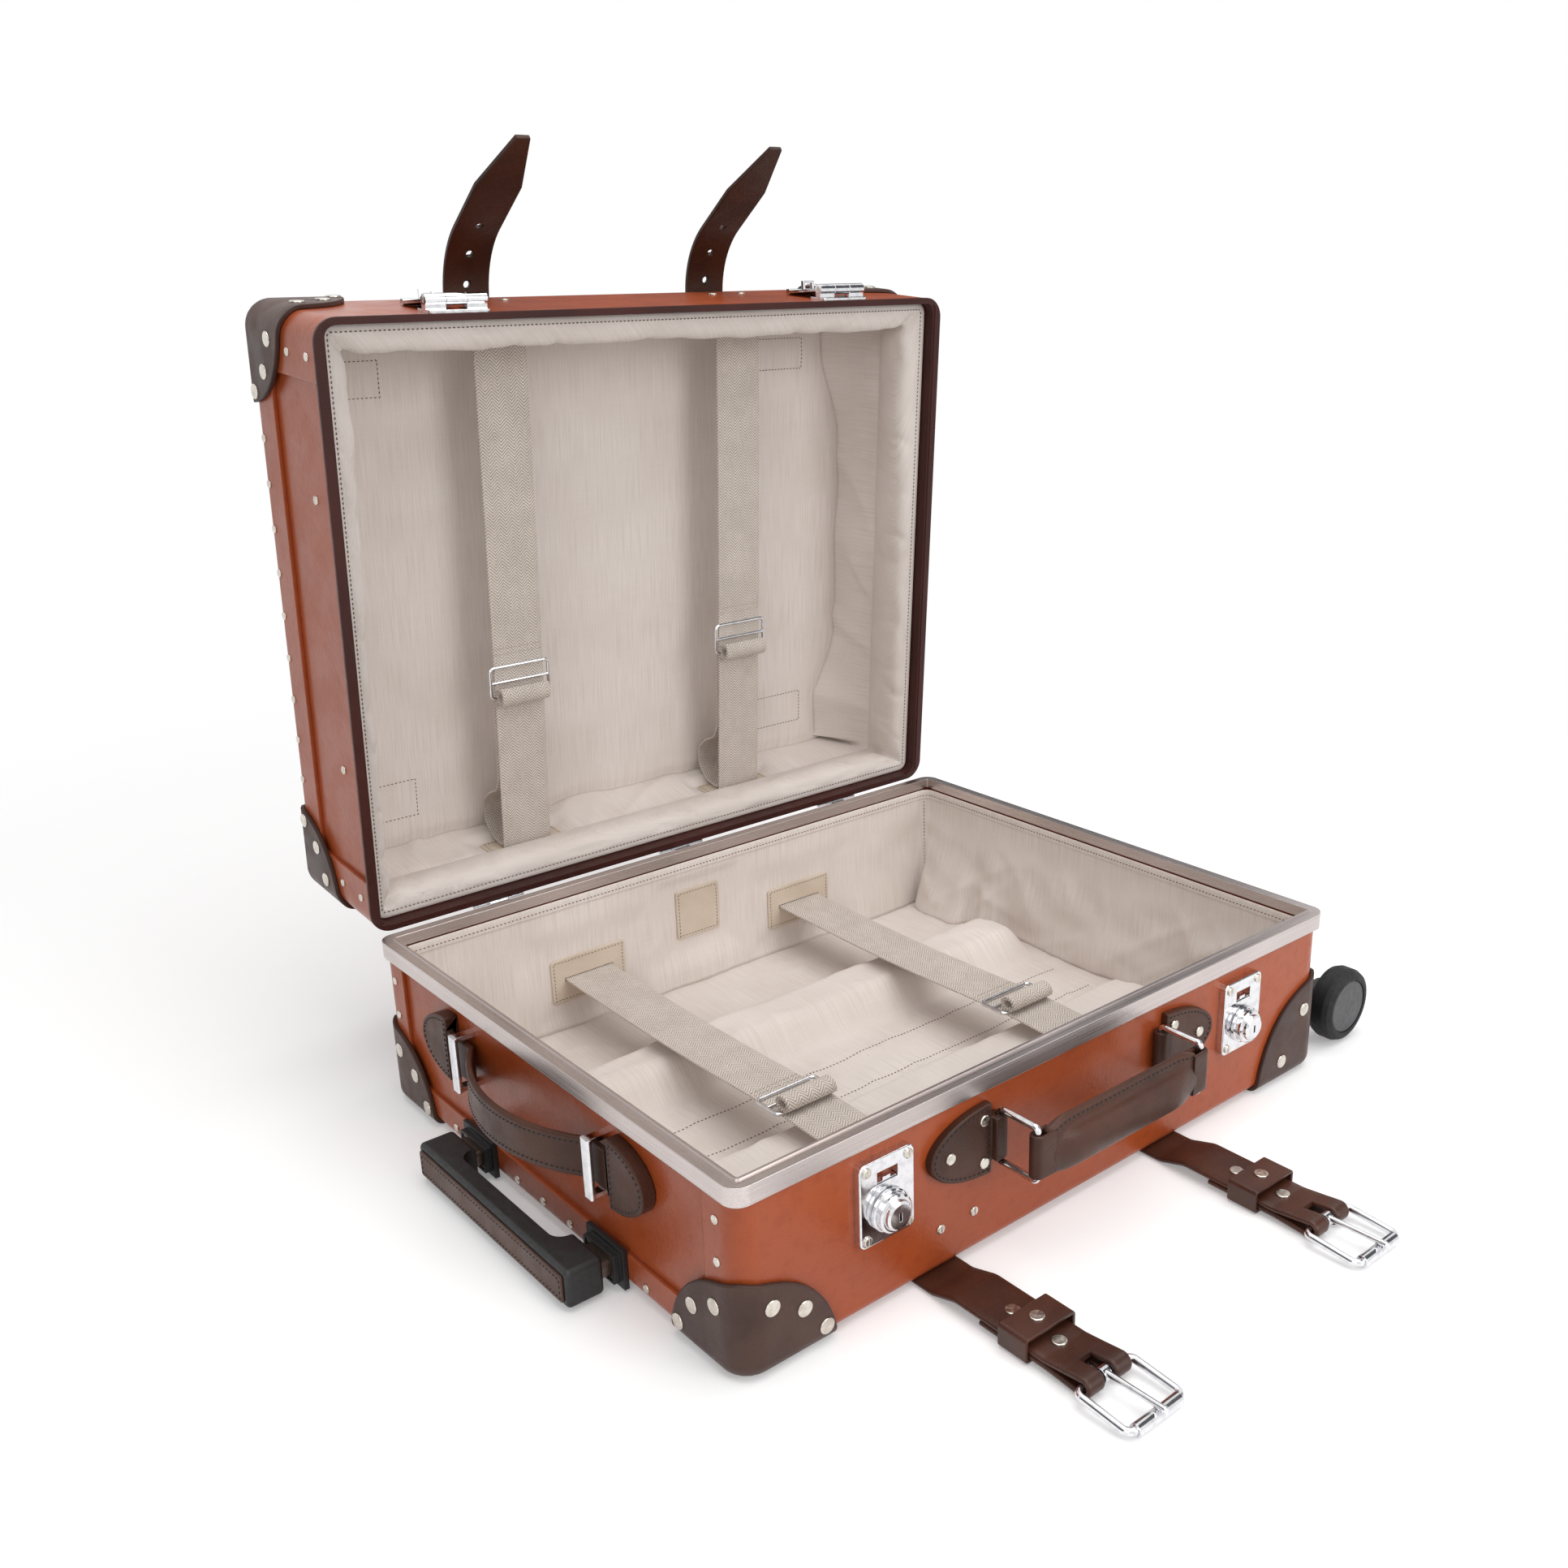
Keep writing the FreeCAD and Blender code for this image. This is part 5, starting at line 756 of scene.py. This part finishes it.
def bent(points, radius, step=3.0):
    """A line through corner places with each corner rounded, in even short steps."""
    points = [Vector(p) for p in points]
    line = [points[0]]
    for a, b, c in zip(points, points[1:], points[2:]):
        into, out = (b - a).normalized(), (c - b).normalized()
        turn = into.angle(out)
        cut = min(radius * tan(turn / 2), 0.48 * (b - a).length, 0.48 * (c - b).length)
        start, end = b - into * cut, b + out * cut
        for k in range(7):
            t = k / 6
            line.append(start * (1 - t) ** 2 + b * 2 * t * (1 - t) + end * t ** 2)
    line.append(points[-1])
    even = [line[0]]
    for a, b in zip(line, line[1:]):
        count = max(1, int((b - a).length / step))
        even += [a.lerp(b, (k + 1) / count) for k in range(count)]
    return even


def rolled_end(place, x, y, z, start, step):
    """Places along a rolled strap end, from its outer turn in."""
    spiral = []
    for k in range(46):
        angle = radians(start + k * step)
        radius = 5.4 - 2.6 * k / 45
        spiral.append(place(x, y + radius * cos(angle) * 1.2, z + radius * sin(angle)))
    return spiral


def web_piece(name, line, width, thick, body):
    """One run of webbing on its half of the case."""
    web = strip(name, line, (1, 0, 0), width, thick, webbing)
    belong(web, body, body + "_webbing")


for side, name in ((-1, "left"), (1, "right")):
    x = side * STRAP_X
    path = bent([(0, 189.5, 43), (0, -50, 43.6), (0, -70, 43.2), (0, -180.0, 39.2), (0, -186.4, 33),
                 (0, -186.4, 13)], 9)
    line = []
    for p in path:
        sag = -2.4 * sin(pi * min(max((187 - p.y) / 237, 0), 1)) if p.y > -50 else 0.0
        line.append(at(x, p.y, p.z + sag))
    web_piece("base_web_" + name, line, 38, 1.5, "base")
    web_piece("base_web_roll_" + name, rolled_end(at, x, -62.0, 50.4, 200, -16), 37, 1.4, "base")

    path = bent([(0, 186.0, LID_STRAP_Z), (0, -178, LID_STRAP_Z), (0, -186.4, 178.5), (0, -186.4, 196.5)], 8)
    line = [in_lid(x, p.y, p.z - 1.2 * sin(pi * min(max((p.y + 178) / 365, 0), 1))) for p in path]
    web_piece("lid_web_" + name, line, 38, 1.5, "lid")
    web_piece("lid_web_roll_" + name, rolled_end(in_lid, x, 69.5, 164.7, -160, 16), 37, 1.4, "lid")
    back = bent([(0, 72, 173.1), (0, 132, 173.9), (0, 143, 178.5), (0, 149, 190.5), (0, 158, 200), (0, 172, 199.5),
                 (0, 182, 190.5), (0, 184.8, 178.5), (0, 184, 173.5)], 9)
    web_piece("lid_web_return_" + name, [in_lid(x, p.y, p.z) for p in back], 37.4, 1.4, "lid")

web_thread = thread("web_thread", rgb(196, 184, 170), rgb(166, 152, 138))
base_rows, lid_rows = [], []
for side in (-1, 1):
    for y in (-30.0, -34.0):
        base_rows.append([at(side * STRAP_X + x, y, 44.1) for x in range(-17, 18, 2)])
    for y in (36.0, 40.0):
        lid_rows.append([in_lid(side * STRAP_X + x, y, 169.4) for x in range(-17, 18, 2)])
sew("base_web_stitches", base_rows, "base", web_thread, 3.0, 2.2, 0.6)
sew("lid_web_stitches", lid_rows, "lid", web_thread, 3.0, 2.2, 0.6)

# Patches: cream leather pieces sewn to the linings, slotted where a packing strap comes through,
# and one plain square patch between them.

patch_leather = leather("cream_patch_leather", rgb(210, 195, 178), rgb(198, 182, 164), rgb(224, 212, 196), 0.0008, 0.05)
welded("base_leather_patches", "base_patches", patch_leather, 0.0004)
welded("lid_leather_patches", "lid_patches", patch_leather, 0.0004)

PATCH_FACE, SLOTTED, SQUARE = 186.1, (30, 16.5), (19, 19)
base_rows = [[at(x, PATCH_FACE, z) for x, z in outline(*patch)]
             for patch in ((-STRAP_X, 43, *SLOTTED), (STRAP_X, 43, *SLOTTED), (0, 63, *SQUARE))]
lid_rows = [[in_lid(x, PATCH_FACE, z) for x, z in outline(px, LID_STRAP_Z, *SLOTTED)] for px in (-STRAP_X, STRAP_X)]
sew("base_patch_stitches", base_rows, "base", cream_thread, 2.7, 1.6, 0.6)
sew("lid_patch_stitches", lid_rows, "lid", cream_thread, 2.7, 1.6, 0.6)

# Locks, hasps, slides, hinges, handle rings and strap buckles: pressed, turned and bent steel
# with bright chrome plate, screwed or riveted through the boards or held by leather.

chrome = Finish("bright_chrome", Metallic=1.0)
tint = chrome.mottle(rgb(226, 226, 228), rgb(206, 206, 210), 240.0, 3.0, 0.4, 0.75)
chrome.give(Base_Color=tint, Roughness=chrome.between(chrome.noise(160.0, 4.0), 0.35, 0.75, 0.06, 0.16))
chrome.relief((chrome.noise(60.0, 2.0), 0.00004), rounding=0.0005)
dress(chrome, "lock_plates", "hasp_plates", "hinge_base_leaves", "hinge_lid_leaves", "base_webbing_buckles",
      "lid_webbing_buckles", "side_handle_loops")
for side in ("_left", "_right"):
    dress(chrome, *(piece + side for piece in ("lock_bolt", "lock_barrel", "hasp_flap", "carry_ring", "buckle_frame",
                                               "buckle_roller", "buckle_prong")))

# Carrying handle: a padded leather grip folded round two chrome rings, held to the front board
# by sewn and riveted leather tabs.

handle_leather = leather("handle_leather", rgb(75, 44, 31), rgb(58, 33, 23), rgb(22, 15, 13), 0.0018, 0.1)
welded("carry_handle_tabs", "carry_tabs", handle_leather, 0.0008)

HANDLE_Z, GRIP_Y, RING_X = 73.5, -226.0, 68.5


def grip_half(x):
    """Half the height of the grip at one place along it."""
    return 17.0 - 3.4 * smooth(abs(x), 44, 62) ** 2


def grip_rise(x, share):
    """Half the thickness at a share of the half height: a stuffed tube with a thin sewn flange above it."""
    end = smooth(abs(x), 40, 62)
    flange = (2.1 + 1.3 * end) * sqrt(max(0.0, 1 - abs(share) ** 12))
    tube = (8.8 - 4.2 * end) * sqrt(max(0.0, 1 - ((share + 0.2) / 0.8) ** 2))
    return max(flange, tube)


GRIP_SIDES = 56
grip_mesh = bpy.data.meshes.new("carry_handle_grip")
skin = bmesh.new()
rings = []
stations = [-62.4, -62.2, -61.6, -60.4] + [-58 + 2 * k for k in range(59)] + [60.4, 61.6, 62.2, 62.4]
for x in stations:
    close = 1.0 - 0.45 * smooth(abs(x), 60.2, 62.6) ** 2
    wrinkle = 0.25 * lump(x, 0, 0, 9, 3.7)
    ring = []
    for k in range(GRIP_SIDES):
        angle = 2 * pi * (k + 0.5) / GRIP_SIDES
        share = cos(angle)
        rise = grip_rise(x, share) * close + wrinkle * (1 - share * share)
        ring.append(skin.verts.new(at(x, GRIP_Y - copysign(rise, sin(angle)),
                                      HANDLE_Z + share * grip_half(x) * (1 - 0.3 * (1 - close)))))
    rings.append(ring)
for one, two in zip(rings, rings[1:]):
    for k in range(GRIP_SIDES):
        m = (k + 1) % GRIP_SIDES
        skin.faces.new((one[k], one[m], two[m], two[k])).smooth = True
for ring in (rings[0], rings[-1]):
    skin.faces.new(ring)
bmesh.ops.recalc_face_normals(skin, faces=skin.faces)
skin.to_mesh(grip_mesh)
skin.free()
grip_mesh.materials.append(handle_leather.material)
belong(put_in_scene("carry_handle_grip", grip_mesh), "carry_grip", "carry_grip")

for side, name in ((-1, "left"), (1, "right")):
    wrap = [(58.0, -3.5), (64.0, -3.5)]
    wrap += [(RING_X + 3.4 * sin(radians(a)), -3.4 * cos(radians(a))) for a in range(0, 181, 15)]
    wrap += [(64.0, 3.5), (58.0, 3.5)]
    line = [at(side * x, GRIP_Y + y, HANDLE_Z) for x, y in wrap]
    neck = strip("carry_handle_neck_" + name, line, (0, 0, 1), 25.6, 2.2, handle_leather, round_edge=0.7)
    belong(neck, "carry_grip", "carry_grip")

dark_thread = thread("dark_thread", rgb(24, 16, 14), rgb(14, 9, 8))
grip_rows = []
for face in (-1, 1):
    grip_rows.append([at(x, GRIP_Y + face * (grip_rise(x, 0.8) + 0.15), HANDLE_Z + 0.8 * grip_half(x))
                      for x in range(-57, 58, 3)])
sew("carry_grip_stitches", grip_rows, "carry_grip", dark_thread, 3.6, 2.3, 1.1)


def d_outline(length, height, inset):
    """A sewn line inside a D shaped tab, straight at 0 and round at its length."""
    arc = [(-pi / 2 + pi * k / 36) for k in range(37)]
    line = [(max(inset, (length - inset) * cos(a)), (height / 2 - inset) * sin(a)) for a in arc]
    return line + line[:1]


TAB_ROOT, TAB_FACE = 74.0, -197.6
tab_rows = [[at(side * (TAB_ROOT + a), TAB_FACE, HANDLE_Z + b) for a, b in d_outline(44.5, 43, 2.6)]
            for side in (-1, 1)]
sew("carry_tab_stitches", tab_rows, "base", dark_thread, 3.4, 2.2, 1.0)

# End handle: one stitched leather strap bowed between two flat chrome loops,
# each held by a leather tab on the left end panel.

welded("end_handle_strap", "side_handle_strap", handle_leather, 0.0008)
END_Z, BOW_FOOT, BOW_HALF, BOW = 73.0, -245.6, 67.0, 21.5
END_TAB_FACE = -246.1
bow_radius = (BOW_HALF ** 2 + BOW ** 2) / (2 * BOW)
bow_rows = []
for rise in (-8.8, 8.8):
    bow_rows.append([at(BOW_FOOT - sqrt(bow_radius ** 2 - y * y) + bow_radius - BOW, y, END_Z + rise)
                     for y in range(-62, 63, 3)])
for side, root in ((1, 94.0), (-1, 86.0)):
    bow_rows.append([at(END_TAB_FACE, side * (root + a), END_Z + b) for a, b in d_outline(34, 42, 2.6)])
sew("end_handle_stitches", bow_rows, "base", dark_thread, 3.4, 2.2, 1.0)

# Pull-out trolley: bronze anodised tubes telescoping in channels under the floor,
# black moulded bezels and grip, and a stitched leather facing on the grip.


def moulded(name, dark, light, cloud, grain, detail, dull, skin, depth, **sockets):
    """Moulded plastic or rubber: an even colour, slightly clouded, with a fine matt skin."""
    made = Finish(name, **sockets)
    made.give(Base_Color=made.mottle(dark, light, cloud, 3.0),
              Roughness=made.between(made.noise(grain, detail), 0.3, 0.7, *dull))
    made.relief((made.noise(skin, detail), depth), rounding=0.0008)
    return made


plastic = moulded("black_moulded_plastic", rgb(24, 24, 25), rgb(34, 34, 35), cloud=30.0, grain=300.0, detail=2.0,
                  dull=(0.42, 0.58), skin=1800.0, depth=0.00006)
dress(plastic, "trolley_bezels", "trolley_grip", "trolley_release_bar", "wheel_brackets")

bronze = Finish("bronze_tube", Metallic=0.9, Anisotropic=0.3)
drawn = bronze.noise(1.0, 3.0, bronze.run((8.0, 1600.0, 1600.0)))
bronze.give(Base_Color=bronze.mix(bronze.between(drawn, 0.35, 0.7), rgb(122, 105, 95), rgb(100, 86, 78)),
            Roughness=bronze.between(drawn, 0.3, 0.7, 0.3, 0.44))
bronze.relief((drawn, 0.00003), rounding=0.0006)
dress(bronze, "trolley_inner_tubes", "trolley_middle_tubes", "trolley_channels", "wheel_axles")

grip_leather = leather("grip_facing_leather", rgb(92, 66, 56), rgb(76, 53, 45), rgb(30, 22, 20), 0.0012, 0.08)
welded("trolley_grip_facing", "trolley_grip_leather", grip_leather, 0.0005)
FACING_X = -276.05
facing_row = [at(FACING_X, y, z) for y, z in outline(0, 13.5, 82.5, 8.3, 2.4, 40)]
sew("trolley_facing_stitches", [facing_row], "trolley_inner", dark_thread, 3.4, 2.2, 0.8)

# Wheels at the right end: grey moulded hubs with black rubber tyres,
# each turning on a bronze axle in a black bracket.

rubber = moulded("tyre_rubber", rgb(24, 24, 26), rgb(36, 36, 38), cloud=45.0, grain=240.0, detail=3.0,
                 dull=(0.55, 0.72), skin=700.0, depth=0.0001, Specular_IOR_Level=0.3)
dress(rubber, "wheel_front_tyre", "wheel_rear_tyre")
hub = moulded("grey_hub", rgb(62, 62, 64), rgb(74, 74, 76), cloud=60.0, grain=300.0, detail=2.0,
              dull=(0.4, 0.55), skin=1200.0, depth=0.00005)
dress(hub, "wheel_front_hub", "wheel_rear_hub")

# Closing straps: dark bridle leather. Two run under the base to roller buckles at the front,
# each folded round its buckle bar and slotted for the prong; two punched tongues come over the lid.

strap_leather = leather("strap_leather", rgb(58, 28, 13), rgb(43, 20, 9), rgb(22, 16, 11), 0.0008, 0.12)
waxed_leather = leather("waxed_strap_leather", rgb(76, 41, 27), rgb(58, 30, 20), rgb(24, 17, 13), 0.0008, 0.35)
BAR_Y, BAR_Z, FOLD_MIDDLE = -309.0, 6.2, 4.1
for x, name in ((-108.0, "left"), (82.0, "right")):
    upper = bent([(0, 150, 1.5), (0, -202.5, 1.5), (0, -220.5, 6.9), (0, -284, 6.9), (0, -297.3, 8.65)], 16)
    turn = [(0, -297.0, 8.6), (0, -301, 9.2), (0, -305, 9.8)]
    turn += [(0, BAR_Y - FOLD_MIDDLE * sin(radians(a)), BAR_Z + FOLD_MIDDLE * cos(radians(a)))
             for a in range(0, 181, 12)]
    turn += [(0, -305, 2.3), (0, -301, 2.6), (0, -297.0, 2.9)]
    lower = bent([(0, -297.3, 2.9), (0, -285, 3.7), (0, -239, 3.7)], 12)
    pieces = (("", upper, 0.0, 32.0), ("_fold_a", turn, -10.0, 12.0), ("_fold_b", turn, 10.0, 12.0),
              ("_return", lower, 0.0, 32.0))
    for part, path, aside, width in pieces:
        band = strip("buckle_strap_" + name + part, [at(x + aside, p[1], p[2]) for p in path], (1, 0, 0), width, 3.0,
                     waxed_leather, round_edge=1.3)
        belong(band, "base", "under_straps")
welded("buckle_strap_keepers", "strap_keepers", waxed_leather, 0.0005)
welded("strap_tongues", "tongue_straps", strap_leather, 0.0006)

# Studio: a plain white floor that runs out into a white backdrop, soft light from above, the left
# and the front, three grey flags that only the bright metal mirrors, and the camera at the photograph's place.

floor_mesh = bpy.data.meshes.new("floor")
floor_mesh.from_pydata([(-6, -6, 0), (6, -6, 0), (6, 6, 0), (-6, 6, 0)], [], [(0, 1, 2, 3)])
floor = put_in_scene("floor", floor_mesh)
floor.location.z = -0.0006
paper = Finish("white_paper", Base_Color=(0.9, 0.9, 0.9, 1.0), Roughness=0.9, Specular_IOR_Level=0.1)
rays = paper.node("LightPath").outputs
seen = paper.maths("MAXIMUM", rays["Is Camera Ray"], rays["Is Glossy Ray"])
glow = paper.node("Emission", (("Strength", paper.maths("MULTIPLY", seen, 0.22)),))
sheet = paper.node("AddShader", ((0, paper.shader.outputs[0]), (1, glow.outputs[0])))
away = paper.node("VectorMath", ((0, paper.place),), operation="LENGTH").outputs["Value"]
gone = paper.node("MixShader", ((0, paper.between(away, 0.6, 1.3)), (1, sheet.outputs[0]),
                                (2, paper.node("BsdfTransparent").outputs[0])))
paper.put(paper.tree.nodes["Material Output"].inputs["Surface"], gone.outputs[0])
floor_mesh.materials.append(paper.material)
floor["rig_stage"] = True

world = bpy.data.worlds.new("studio")
bpy.context.scene.world = world
world.use_nodes = True
tree = world.node_tree
tree.nodes.clear()
rays = tree.nodes.new("ShaderNodeLightPath").outputs
seen = rays["Is Camera Ray"]
for kind in ("Is Glossy Ray", "Is Transmission Ray"):
    either = tree.nodes.new("ShaderNodeMath")
    either.operation = "MAXIMUM"
    tree.links.new(seen, either.inputs[0])
    tree.links.new(rays[kind], either.inputs[1])
    seen = either.outputs[0]
choose = tree.nodes.new("ShaderNodeMixShader")
tree.links.new(seen, choose.inputs[0])
SOFT_LIGHT, BACKDROP = 0.38, 1.0
for place, strength in ((1, SOFT_LIGHT), (2, BACKDROP)):
    white = tree.nodes.new("ShaderNodeBackground")
    white.inputs["Color"].default_value = (1.0, 1.0, 1.0, 1.0)
    white.inputs["Strength"].default_value = strength
    tree.links.new(white.outputs[0], choose.inputs[place])
tree.links.new(choose.outputs[0], tree.nodes.new("ShaderNodeOutputWorld").inputs["Surface"])


def soft_box(name, place, aim, width, height, watts):
    """A large soft lamp turned towards a place."""
    lamp = bpy.data.lights.new(name, "AREA")
    lamp.shape = "RECTANGLE"
    lamp.size = width
    lamp.size_y = height
    lamp.energy = watts
    obj = put_in_scene(name, lamp)
    obj.location = place
    obj.rotation_euler = (Vector(aim) - Vector(place)).to_track_quat("-Z", "Y").to_euler()


soft_box("overhead", (0.2, -0.3, 2.4), (0.0, 0.0, 0.1), 2.6, 2.6, 42)
soft_box("left_front", (-2.2, -1.6, 1.5), (0.0, 0.0, 0.15), 1.6, 1.6, 15)
soft_box("right_front", (0.7, -2.6, 1.2), (0.0, 0.0, 0.15), 1.4, 1.4, 27)

flag_grey = Finish("flag_grey", Base_Color=(0.0, 0.0, 0.0, 1.0), Roughness=1.0, Specular_IOR_Level=0.0)
flag_grey.give(Emission_Color=(0.12, 0.12, 0.13, 1.0), Emission_Strength=1.0)
for name, place, width, height in (("flag_right", (1.6, -0.9, 1.6), 1.7, 1.5),
                                   ("flag_left", (-1.9, 0.2, 0.9), 1.3, 1.4),
                                   ("flag_back", (1.6, 1.8, 1.2), 1.9, 1.5)):
    mesh = bpy.data.meshes.new(name)
    across = Vector((-place[1], place[0], 0.0)).normalized() * (width / 2)
    tall = across.cross(Vector(place)).normalized() * (height / 2)
    middle = Vector(place)
    mesh.from_pydata([middle - across - tall, middle + across - tall, middle + across + tall, middle - across + tall],
                     [], [(0, 1, 2, 3)])
    mesh.materials.append(flag_grey.material)
    flag = put_in_scene(name, mesh)
    flag.visible_camera = flag.visible_diffuse = flag.visible_shadow = flag.visible_transmission = False
    flag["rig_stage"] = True

YAW, PITCH, ROLL = radians(41.51), radians(18.85), radians(-0.558)
forward = Vector((sin(YAW) * cos(PITCH), cos(YAW) * cos(PITCH), -sin(PITCH)))
right = Vector((cos(YAW), -sin(YAW), 0.0))
up = right.cross(forward)
level = right * cos(ROLL) + up * sin(ROLL)
tall = up * cos(ROLL) - right * sin(ROLL)
camera = put_in_scene("camera", bpy.data.cameras.new("camera"))
camera.data.sensor_width = 36.0
camera.data.lens = 35.426
camera.data.shift_x = -0.0716
camera.data.shift_y = 0.0006
camera.matrix_world = Matrix(((level.x, tall.x, -forward.x, -0.60865), (level.y, tall.y, -forward.y, -0.68652),
                              (level.z, tall.z, -forward.z, 0.52308), (0.0, 0.0, 0.0, 1.0)))
bpy.context.scene.camera = camera
bpy.context.scene.view_settings.view_transform = "Standard"

boxes = {"construction": [list(corner) for corner in construction_box], "looks": [list(corner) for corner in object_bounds()]}
